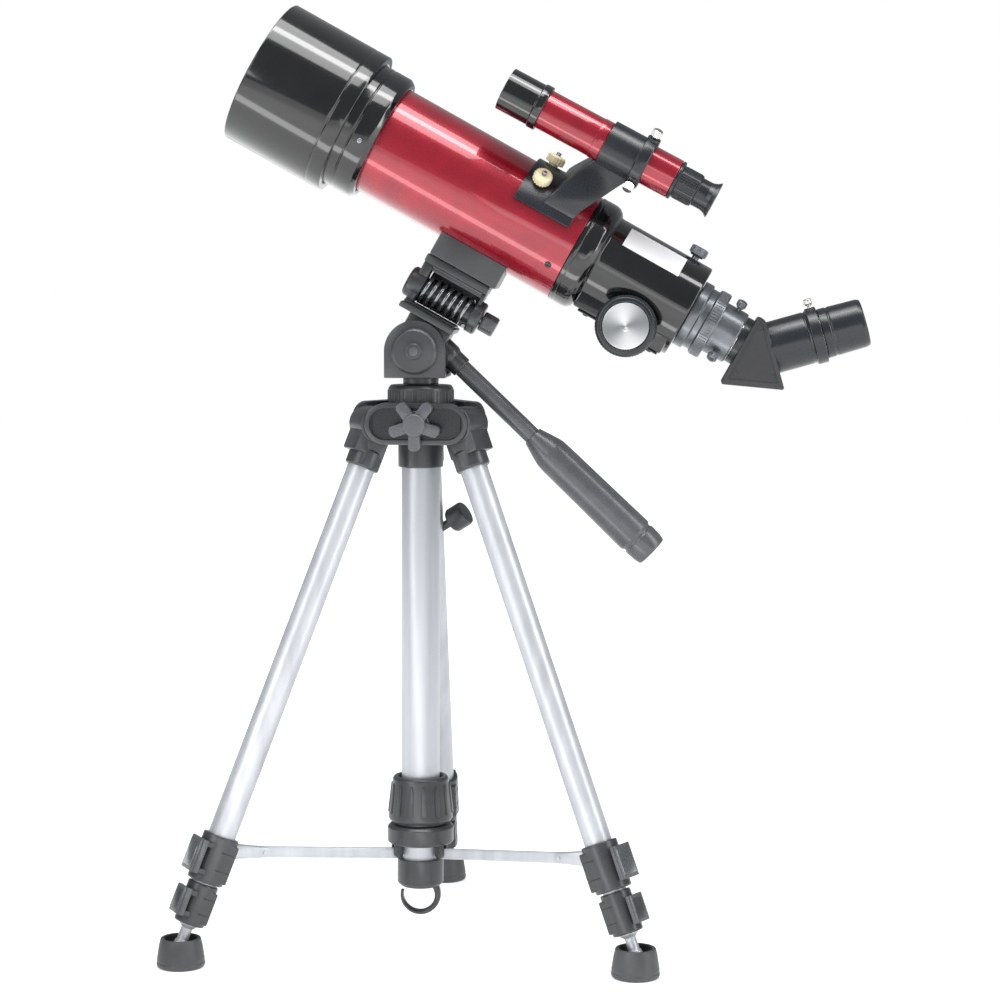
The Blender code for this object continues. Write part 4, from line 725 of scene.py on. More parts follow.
def build_finder():
    """Small finder with its moulded bracket, aiming screws and thumb nuts."""
    look = finishes()
    axis = FINDER @ ALONG_X
    inverse = FINDER.inverted()
    shield = lathe([(13.1, -49.5), (14.4, -49.5), (14.5, -48.9), (14.5, -26.6), (15.4, -26.0), (15.4, -20.9),
                    (13.7, -20.9), (13.7, -26.7), (11.3, -26.7), (11.3, -28.5), (13.1, -28.5)], 96, axis,
                   0.4)
    piece("finder_shade", shield, look["black"], "tilt_top", ["finder_shield"], paint=[
        (look["flat_black"], lambda point, normal: (inverse @ point).yz.length < 13.4
         and (inverse @ point).x < -27)])
    glass = lathe([(0, -27.9), (7, -27.7), (11.2, -27.2), (11.2, -25), (0, -25)], 64, axis, 0.1)
    piece("finder_objective", glass, look["glass"], "tilt_top")
    tube = [pipe(13.4, 12.2, -26.4, 76, axis, 96),
            lathe([(13.3, 18.0), (13.75, 18.3), (13.75, 24.6), (13.3, 25.0), (13.0, 25.0), (13.0, 18.0)], 96,
                  axis, 0.2)]
    piece("finder_tube_shell", tube, look["red"], "tilt_top", ["finder_tube"])
    eye = [lathe([(5, 62), (11.9, 62), (11.9, 76.3), (13.3, 76.3), (13.3, 78.3), (11.1, 78.9), (11.0, 92.3),
                  (9.7, 92.9), (9.7, 99.6), (10.6, 102.4), (12.6, 105.2), (11.5, 105.5), (8.6, 101.8),
                  (5, 100)],
                 80, axis, 0.4), ribs(look["satin"], 44, 10.95, 0.34, 11.5, 85.4, axis)]
    piece("finder_eye_end", eye, look["satin"], "tilt_top", ["finder_eyepiece"])
    piece("finder_eye_lens", lathe([(0, 98.6), (5.4, 98.6), (5.4, 99.6), (3.5, 100.3), (0, 100.7)], 48, axis,
                                   0.1),
          look["glass"], "tilt_top")

    outline = arc((0, 0), 40.6, 40, 140, 40) + arc((0, 0), 38.0, 140, 40, 40)
    saddle = plate(outline, -121, -80, FINDER_ROLL @ Matrix.Rotation(math.radians(90), 4, "Z"), 0, 0.5)
    stalk = bmesh.new()
    steps = 8
    loops = []
    for step in range(steps + 1):
        part = step / steps
        ease = part * part * (3 - 2 * part)
        height = 33.0 + (68.5 - 33.0) * part
        front = 98 + (114.3 - 98) * part
        rear = 120.2 + (141.5 - 120.2) * part
        half = 26.5 + (9.5 - 26.5) * ease
        low = height if step else 27.0
        loops.append([stalk.verts.new(corner) for corner in ((front, -half, low), (rear, -half, low),
                                                              (rear, half, low), (front, half, low))])
    for first, second in zip(loops, loops[1:]):
        for index in range(4):
            after = (index + 1) % 4
            stalk.faces.new([first[index], first[after], second[after], second[index]])
    stalk.faces.new(list(reversed(loops[0])))
    stalk.faces.new(loops[-1])
    bmesh.ops.recalc_face_normals(stalk, faces=stalk.faces)
    bevel_edges(stalk, 1.0, 2)
    bracket = carve(placed(stalk, FINDER_ROLL), "DIFFERENCE", rod(38.2, 60, 140, FINDER_ROLL @ ALONG_X, 96,
                                                                  0),
                    rod(14.4, -10, 70, axis, 64, 0))
    ring = lathe([(14.3, 25.3), (15.6, 25.3), (15.6, 48.3), (18.0, 48.8), (18.0, 55.6), (17.4, 56.3),
                  (14.3, 56.3)],
                 96, axis, 0.4)
    lugs = []
    for azimuth in (0, 120, 240):
        lugs.append(rod(4.4, 14.6, 18.9, FINDER @ Matrix.Translation((52.4, 0, 0))
                        @ Matrix.Rotation(math.radians(azimuth), 4, "X"), 32, 0.5))
    lines = []
    for step in range(7):
        side = -21 + 7 * step
        lines.append(block((120.4, side - 0.5, 39.5), (121.6, side + 0.5, 46 + 1.2 * (3 - abs(step - 3))),
                           FINDER_ROLL, 0.2))
    for side in (-17.5, -11, 11, 17.5):
        fin = [(104, 39.4), (121.5, 39.4), (127, 47), (120, 47)]
        lines.append(plate(fin, side - 0.9, side + 0.9, FINDER_ROLL, 0, 0.3))
    piece("finder_bracket_moulding", [saddle, bracket, ring] + lugs + lines, look["satin"], "tilt_top",
          ["finder_bracket"], 32)
    screws = []
    for azimuth in (0, 120, 240):
        screws += thumbscrew(look["chrome"], 3.3, 19.2, 6.2, FINDER @ Matrix.Translation((52.4, 0, 0))
                             @ Matrix.Rotation(math.radians(azimuth), 4, "X"), 16)
    piece("finder_thumbscrews", screws, look["chrome"], "tilt_top")
    nuts = []
    for azimuth in (-21.5, 21.5):
        spot = out_from(FINDER_ROLL, azimuth, 40.5, 90)
        nuts += [lathe([(0, 0), (3.4, 0), (3.4, 1.2), (6.0, 1.6), (6.2, 6.4), (5.2, 7.4), (0, 7.4)], 48,
                       spot, 0.4),
                 ribs(look["cream"], 18, 5.9, 0.5, 4.4, 4.0, spot)]
    piece("bracket_thumb_nuts", nuts, look["cream"], "tilt_top")
    studs = [rod(1.7, -0.5, 9.6, out_from(FINDER_ROLL, azimuth, 40.5, 90), 24) for azimuth in (-21.5, 21.5)]
    piece("bracket_studs", studs, look["steel"], "tilt_top")


# ---------------------------------------------------------------- clamp and head

def build_clamp():
    """Block under the tube and the sprung clamp that grips it."""
    look = finishes()
    pad = block((47.6, -18, -50), (97.2, 18, -28), OPTICS, 1.0)
    pad = carve(pad, "DIFFERENCE", rod(38.0, 30, 120, OPTICS @ ALONG_X, 128, 0))
    piece("tube_foot_block", pad, look["nylon"], "tilt_top", ["tube_block"])
    centre = OPTICS @ Matrix.Translation((0, 0, -73)) @ ALONG_X
    top = block((46.2, -13, -56.2), (93.8, 13, -50.4), OPTICS, 1.0)
    frame_parts = [top, block((48, -6, -60.2), (92.6, 6, -55.6), OPTICS, 0.8),
                   lathe([(3.4, 42), (9.0, 42), (10.6, 43.6), (10.6, 53.5), (3.4, 53.5)], 56, centre, 0.5),
                   block((46.4, -7.6, -73), (53.2, 7.6, -55), OPTICS, 0.6),
                   lathe([(3.4, 91), (11.6, 91), (11.6, 96.8), (10.4, 98), (3.4, 98)], 56, centre, 0.5),
                   block((91.4, -7.6, -73), (93.6, 7.6, -55), OPTICS, 0.5),
                   block((47, -11, -86), (86, 11, -84.6), OPTICS, 0.4),
                   block((47.2, -9, -85), (52.4, 9, -77), OPTICS, 0.6), block((92, -9, -83.6), (96, 9, -77),
                                                                              OPTICS, 0.6)]
    piece("clamp_frame_moulding", frame_parts, look["nylon"], "tilt_top", ["clamp_frame"])
    core = [pipe(7.6, 3.5, 53.6, 91, centre, 48), block((53.4, 11.2, -84.4), (91.2, 12.8, -56), OPTICS, 0.5)]
    piece("clamp_inner_sleeve", core, look["nylon"], "tilt_top")
    liner = [block((53.6, -12.4, -57.4), (90.8, 12.4, -56.3), OPTICS, 0.3)]
    piece("clamp_wear_strip", liner, look["light_nylon"], "tilt_top")
    spring = grown(coil_tree(), look["steel"], {"Turns": 7.0, "Radius": 9.5, "Wire": 1.35, "Height": 34.6},
                   centre @ Matrix.Translation((0, 0, 54.9)))
    piece("clamp_spring_coil", spring, look["steel"], "tilt_top", ["clamp_spring"])
    screw = [rod(3.0, 43.5, 99, centre, 40)]
    hexagon = lathe([(0, 98.6), (6.4, 98.6), (7.0, 99.4), (7.0, 108.4), (6.2, 109.4), (0, 109.4)], 6, centre,
                    0)
    piece("clamp_screw_knob", bevel_edges(hexagon, 0.5), look["light_nylon"], "clamp_knob")
    threads = [lathe([(2.9, at), (3.3, at + 0.45), (2.9, at + 0.9)], 32, centre, 0) for at in
               [55 + 1.1 * step for step in range(32)]]
    piece("clamp_draw_screw", screw + threads, look["steel"], "clamp_knob", ["clamp_screw"], 30)


def build_head():
    """Tilt platform, pan fork, tilt bolt and handle."""
    look = finishes()
    swing = 43.7 - ALTITUDE
    side = Vector((math.sin(math.radians(swing)), 0, math.cos(math.radians(swing)))) * 12.2
    line = TILT @ Matrix.Translation(side) @ Matrix.Rotation(math.radians(90 + swing), 4, "Y")
    lug = rod(15.0, -13.7, 13.7, TILT @ ALONG_Y, 80, 0.8)
    shapes = [block((-24.4, -21.5, 21.4), (16.4, 21.5, 25.4), TILT, 0.9),
              block((-16, -13.3, 4), (15, 13.3, 22.2), TILT, 0.8), lug,
              lathe([(0, -4), (8.6, -4), (8.6, 18), (8.0, 20.5), (7.4, 21), (7.4, 29.4), (6.4, 30), (0, 30)],
                    56, line, 0.6)]
    piece("tilt_platform_moulding", shapes, look["nylon"], "tilt_top", ["tilt_platform"])
    pad = block((-22.6, -19.6, 25.1), (14.6, 19.6, 25.7), TILT, 0.2)
    piece("platform_cork", pad, look["dark_rubber"], "tilt_top")

    floor = 385.8 - 403.7
    outline = [(-20.6, floor), (20.6, floor)] + arc((0, 0), 20.6, 0, 180, 48)
    fork = []
    for low, high in ((-22, -14), (14, 22)):
        fork.append(plate(outline, low, high, HEAD, 0, 0.8))
    fork.append(block((-20.6, -15, floor), (20.6, 15, -15.5), HEAD, 0.5))
    fork.append(lathe([(0, 381.1), (12, 381.1), (12, 387), (0, 387)], 64, TRIPOD, 0.4))
    piece("pan_fork_moulding", fork, look["nylon"], "pan_head", ["pan_fork"])
    disc = [lathe([(0, -29.2), (4.8, -29.2), (5.4, -28.6), (5.4, -27), (13.6, -26.9), (15.4, -25.2),
                   (15.6, -22.6),
                   (4.6, -22.6), (4.6, 22.4), (8.4, 22.4), (8.4, 26.2), (7.6, 26.9), (0, 26.9)], 96,
                  HEAD @ ALONG_Y, 0.4)]
    piece("tilt_bolt_disc", disc, look["nylon"], "tilt_lock", ["tilt_bolt"])
    cap = lathe([(0, -29.4), (3.0, -29.4), (3.0, -29.0), (0, -29.0)], 40, HEAD @ ALONG_Y, 0.1)
    piece("tilt_bolt_cap", cap, look["light_nylon"], "tilt_lock")
    shaft = [rod(6.0, 8, 113, HANDLE, 64, 0.3)]
    piece("handle_shaft", shaft, look["light_nylon"], "tilt_top", ["handle_rod"])
    grip = [lathe([(6.3, 95.7), (7.0, 95.7), (8.0, 99), (9.6, 104), (10.9, 108.5), (11.9, 112.5),
                   (12.2, 118),
                   (12.5, 150), (13.0, 191.6), (11.6, 193.6), (11.6, 194.4), (12.5, 195.8), (12.2, 203),
                   (11.4, 207.2),
                   (10.5, 208), (0, 208), (0, 113.9), (6.3, 113.9)], 80, HANDLE, 0.5)]
    piece("handle_grip_moulding", grip, look["light_nylon"], "handle", ["handle_grip"])


# ---------------------------------------------------------------- tripod

def build_column():
    """Centre column, guide tube, chassis with its leg pins, and the star knob."""
    look = finishes()
    column = [lathe([(11.4, 120), (11.4, 366.9), (10.0, 366.9), (10.0, 120)], 96, TRIPOD, 0.2)]
    piece("centre_column_tube", column, look["drawn"], "column", ["centre_column"])
    base = lathe([(0, 367.3), (20.8, 367.3), (22, 368.6), (22, 378.4), (20.4, 380.6), (0, 380.6)], 96,
                 TRIPOD, 0.5)
    piece("pan_base_disc", [base, ribs(look["nylon"], 40, 21.8, 0.7, 7.6, 373.4, TRIPOD)], look["nylon"],
          "column",
          ["pan_base"])
    guide = lathe([(13, 52), (13, 350), (11.8, 350), (11.8, 52)], 96, TRIPOD, 0.2)
    piece("guide_tube_shell", guide, look["drawn"], "tripod", ["guide_tube"])

    corners = []
    parts = []
    for azimuth in (-90, 30, 150):
        turn = Matrix.Rotation(math.radians(azimuth + 90), 4, "Z")
        corners += [turn @ Vector((-26, -25.6, 0)), turn @ Vector((26, -25.6, 0))]
        face = plate(obround(34.6, 13.9, KNOB_UP), -33, -23.5, TRIPOD @ turn, 0, 0.7)
        pocket = plate(obround(31.4, 10.7, KNOB_UP), -36, -30, TRIPOD @ turn, 0, 0)
        parts.append(carve(face, "DIFFERENCE", pocket))
    core = bmesh.new()
    low = [core.verts.new((corner.x, corner.y, 342.0)) for corner in corners]
    high = [core.verts.new((corner.x, corner.y, 366.9)) for corner in corners]
    core.faces.new(list(reversed(low)))
    core.faces.new(high)
    for index in range(6):
        after = (index + 1) % 6
        core.faces.new([low[index], low[after], high[after], high[index]])
    core = placed(core, TRIPOD)
    core = carve(core, "UNION", *parts)
    cuts = [rod(13.3, 320, 350.3, TRIPOD, 64, 0), rod(11.8, 348, 375, TRIPOD, 64, 0)]
    for azimuth in SIDES.values():
        cuts.append(block((19.5, -11.3, 330), (75, 11.3, 380), TRIPOD
                          @ Matrix.Rotation(math.radians(azimuth), 4, "Z"), 0))
    core = carve(core, "DIFFERENCE", *cuts)
    core = carve(core, "DIFFERENCE", rod(3.4, -45, -9, TRIPOD @ Matrix.Translation((0, 0, KNOB_UP))
                                         @ ALONG_Y, 24, 0))
    sleeve = lathe([(13.3, 325.1), (15.0, 325.1), (15.3, 325.8), (15.3, 343), (13.3, 343)], 96, TRIPOD, 0.3)
    pins = []
    for azimuth in SIDES.values():
        pins.append(rod(2.4, -12.2, 12.2, TRIPOD @ Matrix.Rotation(math.radians(azimuth), 4, "Z")
                        @ Matrix.Translation((LEG_PIVOT_OUT, 0, LEG_PIVOT_UP)) @ ALONG_Y, 24))
    boss = lathe([(3.4, 29), (9.0, 29), (9.0, 33.0), (8.4, 33.6), (3.4, 33.6)], 48,
                 TRIPOD @ Matrix.Translation((0, 0, KNOB_UP)) @ ALONG_Y @ Matrix.Rotation(math.pi, 4, "X"),
                 0.3)

    # painted shade: the floors of the knob pockets take the dark satin finish
    def pocket_floor_painted_shade(point, normal):
        local = TRIPOD.inverted() @ point
        for azimuth in (-90, 30, 150):
            out = Vector((math.cos(math.radians(azimuth)), math.sin(math.radians(azimuth)), 0))
            if normal.dot(out) > 0.95 and 29.5 < local.dot(out) < 30.5:
                return True
        return False

    piece("chassis_moulding", [core, sleeve, boss] + pins, look["nylon"], "tripod", ["chassis"],
          30,
          [(look["satin"], pocket_floor_painted_shade)])

    outline = []
    for lobe in range(5):
        angle = math.radians(-90 + lobe * 72)
        along = Vector((math.cos(angle), math.sin(angle)))
        across = Vector((-math.sin(angle), math.cos(angle)))
        for distance, offset in ((5.9, -3.8), (15.4, -3.8), (17.2, -2.2), (17.2, 2.2), (15.4, 3.8),
                                 (5.9, 3.8)):
            point = along * distance + across * offset
            outline.append((point.x, point.y))
    knob_place = TRIPOD @ Matrix.Translation((0, -33, KNOB_UP))
    knob = [plate(soften(outline, 1.4, 3, False), -11.6, -2.4, knob_place, 0, 0.9),
            lathe([(0, -13.4), (6.6, -13.4), (7.5, -12.6), (7.5, -1.3), (0, -1.3)], 64, knob_place @ ALONG_Y,
                  0.4),
            rod(3.0, -2, 21.2, knob_place @ ALONG_Y, 32)]
    piece("star_knob_moulding", knob, look["light_nylon"], "column_lock", ["star_knob"])


def build_spreader():
    """Sliding hub, twist collar, end cap with its hook, and the three arms."""
    look = finishes()
    hub = [lathe([(13.4, 67.4), (21.4, 67.4), (22.6, 68.6), (22.6, 78.4), (20.4, 80.6), (17.0, 80.6),
                  (17.0, 93),
                  (13.4, 93)], 96, TRIPOD, 0.4)]
    for azimuth in SIDES.values():
        turn = TRIPOD @ Matrix.Rotation(math.radians(azimuth), 4, "Z")
        shape = [(14.0, 69)] + arc((ARM_PIVOT_OUT, ARM_PIVOT_UP), 3.2, 180, 360, 14) + [(20.6, 69)]
        hub += [plate(shape, 1.4, 3.1, turn, 0, 0.25), plate(shape, -3.1, -1.4, turn, 0, 0.25),
                rod(1.4, -3.5, 3.5, turn @ Matrix.Translation((ARM_PIVOT_OUT, 0, ARM_PIVOT_UP)) @ ALONG_Y,
                    20, 0.2)]
    piece("spreader_hub_ring", hub, look["nylon"], "hub", ["spreader_hub"])
    collar = [lathe([(17.4, 82.8), (20.8, 82.8), (22.0, 84.6), (21.8, 87), (19.0, 111.8), (17.9, 113.4),
                     (15.6, 113.4),
                     (13.6, 108), (13.6, 93.4), (17.4, 93.4)], 96, TRIPOD, 0.5)]
    for step in range(14):
        turn = (TRIPOD @ Matrix.Rotation(math.radians(step * 360 / 14), 4, "Z") @ Matrix.Translation((20.35,
                                                                                                      0, 98))
                @ Matrix.Rotation(math.radians(-6.4), 4, "Y"))
        tear = soften([(-1.9, -10.2), (1.9, -10.2), (1.4, 8.6), (0, 11.6), (-1.4, 8.6)], 1.3, 4, False)
        collar.append(plate(tear, -0.4, 0.9, turn @ Matrix.Rotation(math.radians(90), 4, "Z")
                            @ Matrix.Rotation(math.pi, 4, "Z"), 0, 0.35))
    piece("twist_collar_moulding", collar, look["nylon"], "collar", ["twist_collar"])
    cap = lathe([(0, 37.2), (13.2, 37.2), (15.8, 39.8), (15.8, 56.6), (13.3, 56.6), (13.3, 51.7), (0, 51.7)],
                96, TRIPOD, 0.5)
    path = []
    for step in range(31):
        angle = math.radians(62 - 254 * step / 30)
        wide = 2.5 - 0.05 * step if step < 22 else 1.45 - 0.05 * (step - 21)
        path.append((-0.4 + 12.3 * math.cos(angle), 30.6 + 12.3 * math.sin(angle), wide))
    hook = bmesh.new()
    loops = []
    for index, (x, z, wide) in enumerate(path):
        angle = math.radians(62 - 254 * index / 30)
        ring = []
        for part in range(20):
            turn = 2 * math.pi * part / 20
            power = 0.75
            across = math.copysign(abs(math.cos(turn)) ** power, math.cos(turn)) * wide
            depth = math.copysign(abs(math.sin(turn)) ** power, math.sin(turn)) * 3.7
            ring.append(hook.verts.new((x + across * math.cos(angle), depth, z + across * math.sin(angle))))
        loops.append(ring)
    for first, second in zip(loops, loops[1:]):
        for part in range(20):
            after = (part + 1) % 20
            hook.faces.new([first[part], first[after], second[after], second[part]])
    hook.faces.new(loops[0])
    hook.faces.new(list(reversed(loops[-1])))
    hook = placed(hook, TRIPOD)
    piece("hook_cap_moulding", [cap, hook], look["nylon"], "tripod", ["hook_cap"])
    for name, azimuth in SIDES.items():
        place = (TRIPOD @ Matrix.Rotation(math.radians(azimuth), 4, "Z") @ Matrix.Translation((ARM_PIVOT_OUT,
                                                                                               0,
                                                                                               ARM_PIVOT_UP))
                 @ Matrix.Rotation(math.radians(-ARM_RISE), 4, "Y"))
        outline = arc((ARM_SPAN, 0), 3.6, -90, 90, 16) + arc((0, 0), 3.6, 90, 270, 16)
        bar = plate(outline, -1.1, 1.1, place, 0, 0.2)
        bar = carve(bar, "DIFFERENCE", rod(1.7, -5, 5, place @ ALONG_Y, 20, 0),
                    rod(1.7, -5, 5, place @ Matrix.Translation((ARM_SPAN, 0, 0)) @ ALONG_Y, 20, 0))
        piece(name + "_arm_bar", bar, look["drawn"], name + "_arm", [name + "_arm"])


def lock_shells(place, start, length, radius, inner, wide):
    """A clamp collar with a split panel, slots and hinge lugs, on a leg's own axis."""
    axis = place @ Matrix.Translation((LEG_AXIS_X, 0, 0))
    collar = lathe([(radius - 0.4, -start), (radius, -start - 1.0), (radius, -start - length + 1.0),
                    (radius - 0.6, -start - length), (inner, -start - length), (inner, -start - 1.5),
                    (wide, -start - 1.5), (wide, -start)], 72, axis, 0.4)
    cheek = block((-radius * 0.86, -radius * 0.94, -start - length + 2.5), (radius * 0.2, radius * 0.94,
                                                                            -start - 3.5),
                  axis, 0.9)
    body = carve(collar, "UNION", cheek)
    cuts = [rod(inner + 0.1, -start - length - 5, -start + 5, axis, 64, 0)]
    for level in (0.3, 0.68):
        height = -start - length * level
        cuts.append(block((-radius * 1.2, -radius * 1.1, height - 0.45), (radius * 0.05, -radius * 0.88,
                                                                          height + 0.45),
                          axis, 0))
        cuts.append(block((-radius * 1.2, radius * 0.88, height - 0.45), (radius * 0.05, radius * 1.1, height
                                                                          + 0.45),
                          axis, 0))
    body = carve(body, "DIFFERENCE", *cuts)
    knuckle = (LEG_AXIS_X + radius + 0.9, radius - 1.8)
    shells = [body]
    for low, high in ((-start - 9.0, -start - 5.4), (-start - length + 5.0, -start - length + 8.4)):
        shells.append(rod(2.0, low, high, place @ Matrix.Translation((knuckle[0], knuckle[1], 0)), 32, 0.2))
        shells.append(block((LEG_AXIS_X + radius * 0.5, radius * 0.5, low + 0.1), (knuckle[0] + 0.3,
                                                                                   knuckle[1] + 1.2,
                                                                                   high - 0.1),
                            place, 0.3))
    return shells, knuckle


def lever_shells(place, start, length, radius, knuckle):
    """The flip lever that lies across a lock's outer side."""
    top = -start - 5.0
    bottom = -start - length + 4.6
    outline = [(knuckle[0] - 0.2, -radius + 2.7), (knuckle[0] + 2.2, -radius + 2.7), (knuckle[0] + 3.5,
                                                                                      -radius + 4.6),
               (knuckle[0] + 3.5, knuckle[1] - 1.2), (knuckle[0] + 2.2, knuckle[1]), (knuckle[0] - 0.2,
                                                                                      knuckle[1])]
    shell = bmesh.new()
    low = [shell.verts.new((x, y, bottom)) for x, y in soften(outline, 0.8, 3, False)]
    high = [shell.verts.new((vertex.co.x, vertex.co.y, top)) for vertex in low]
    shell.faces.new(list(reversed(low)))
    shell.faces.new(high)
    for index in range(len(low)):
        after = (index + 1) % len(low)
        shell.faces.new([low[index], low[after], high[after], high[index]])
    bmesh.ops.recalc_face_normals(shell, faces=shell.faces)
    bevel_edges(shell, 0.4, 2)
    barrel = rod(2.2, bottom, top, place @ Matrix.Translation((knuckle[0], knuckle[1], 0)), 32, 0.2)
    body = carve(placed(shell, place), "UNION", barrel)
    body = carve(body, "DIFFERENCE", rod(radius + 0.25, bottom - 5, top + 5,
                                         place @ Matrix.Translation((LEG_AXIS_X, 0, 0)), 72, 0))
    panel = block((knuckle[0] + 3.2, -radius + 5.0, bottom + 2.4), (knuckle[0] + 3.75, knuckle[1] - 3.0,
                                                                    top - 2.4),
                  place, 0.2)
    return [body], [panel]


def build_legs():
    """Three legs: yoke, three tubes, two flip locks, arm ears and a foot each."""
    look = finishes()
    for name, azimuth in SIDES.items():
        place = leg_place(azimuth)
        axis = place @ Matrix.Translation((LEG_AXIS_X, 0, 0))
        yoke = rod(12, -10.9, 10.9, place @ ALONG_Y, 72, 0.7)
        cheek = block((-12.7, -10.5, -21), (9.6, 10.5, -2), place, 1.2)
        socket = lathe([(0, -17), (10.6, -17), (11.6, -18.2), (11.6, -29.0), (11.0, -30), (0, -30)], 64,
                       axis, 0.5)
        yoke = carve(yoke, "UNION", cheek, socket)
        yoke = carve(yoke, "DIFFERENCE", rod(9.6, -40, -12, axis, 64, 0), rod(2.8, -20, 20, place @ ALONG_Y,
                                                                              24, 0))
        piece(name + "_leg_yoke", yoke, look["nylon"], name + "_leg", [name + "_yoke"])
        upper = pipe(9.3, 8.4, -318, -12.4, axis, 72, 0.2)
        piece(name + "_leg_upper", upper, look["drawn"], name + "_leg", [name + "_upper_tube"])
        middle = pipe(7.9, 7.0, -345.2, -60, axis, 64, 0.2)
        piece(name + "_leg_middle", middle, look["drawn"], name + "_middle", [name + "_middle_tube"])
        lower = lathe([(0, -371.5), (2.2, -371.0), (4.0, -369.5), (5.0, -366.5), (4.6, -364.4),
                       (3.8, -363.2),
                       (3.8, -355.2), (6.4, -352.8), (6.4, -92), (5.5, -92), (5.5, -344), (0, -344)], 48,
                      axis, 0.3)
        piece(name + "_leg_lower", lower, look["drawn"], name + "_lower", [name + "_lower_tube"])

        shells, knuckle = lock_shells(place, *UPPER_LOCK, 8.3, 9.6)
        tip = place.inverted() @ (TRIPOD @ Matrix.Rotation(math.radians(azimuth), 4, "Z")
                                  @ Vector((ARM_PIVOT_OUT + ARM_SPAN * math.cos(math.radians(ARM_RISE)), 0,
                                            ARM_PIVOT_UP + ARM_SPAN * math.sin(math.radians(ARM_RISE)))))
        ear = [(-14.6, tip.z - 11.5), (-14.6, tip.z - 1.5)] + arc((tip.x, tip.z), 3.4, 90, 250, 16)
        piece(name + "_arm_ears", [plate(ear, 1.4, 3.1, place, 0, 0.25), plate(ear, -3.1, -1.4, place, 0,
                                                                               0.25),
                                   rod(1.6, 2.9, 3.7, place @ Matrix.Translation((tip.x, 0, tip.z))
                                       @ ALONG_Y, 20, 0.2),
                                   rod(1.6, -3.7, -2.9, place @ Matrix.Translation((tip.x, 0, tip.z))
                                       @ ALONG_Y, 20,
                                       0.2)],
              look["drawn"], name + "_leg")
        piece(name + "_upper_lock_collar", shells, look["nylon"], name + "_leg", [name + "_upper_lock"],
              30)
        lever, panel = lever_shells(place, *UPPER_LOCK, knuckle)
        piece(name + "_upper_lock_lever", lever, look["light_nylon"], name + "_upper_lever",
              [name + "_upper_lever"],
              30)
        piece(name + "_upper_lever_pad", panel, look["steel"], name + "_upper_lever")
        shells, knuckle = lock_shells(place, *LOWER_LOCK, 6.8, 8.2)
        piece(name + "_lower_lock_collar", shells, look["nylon"], name + "_middle", [name + "_lower_lock"],
              30)
        lever, panel = lever_shells(place, *LOWER_LOCK, knuckle)
        piece(name + "_lower_lock_lever", lever, look["light_nylon"], name + "_lower_lever",
              [name + "_lower_lever"],
              30)
        piece(name + "_lower_lever_pad", panel, look["nylon"], name + "_lower_lever")

        if name == "rear":
            stub = axis @ Matrix.Translation((0, 0, -88)) @ Matrix.Rotation(math.radians(55), 4, "X")
            piece("rear_leg_knob", [rod(3.0, 8.6, 20, stub, 32), lathe([(0, 18), (7.4, 18), (8.8, 20),
                                                                        (8.8, 30),
                  (8.0, 31.4), (0, 31.4)], 56, stub, 0.5)], look["nylon"], "rear_leg")
        ball = Vector(JOINTS[name + "_foot_turn"]["pos_m"]) * 1000
        foot_place = Matrix.Translation((ball.x, ball.y, 0))
        foot = lathe([(0, 0.1), (14.8, 0.1), (15.9, 1.5), (15.9, 3.4), (15.6, 3.9), (15.6, 4.5), (15.7, 5.6),
                      (14.4, 14.4), (13.2, 19.2), (12.4, 19.5), (11.2, 19.5), (10.6, 18.6), (8.2, 8.4),
                      (0, 8)],
                     72, foot_place, 0.5)
        # painted shade: the inside of each foot's socket takes the near-black rubber
        piece(name + "_foot_rubber", foot, look["rubber"], name + "_foot", [name + "_foot"],
              paint=[
(look["dark_rubber"], lambda point, normal, middle=ball: point.z > 8 and
(point - middle).xy.length < 11.0)])


# ---------------------------------------------------------------- stage

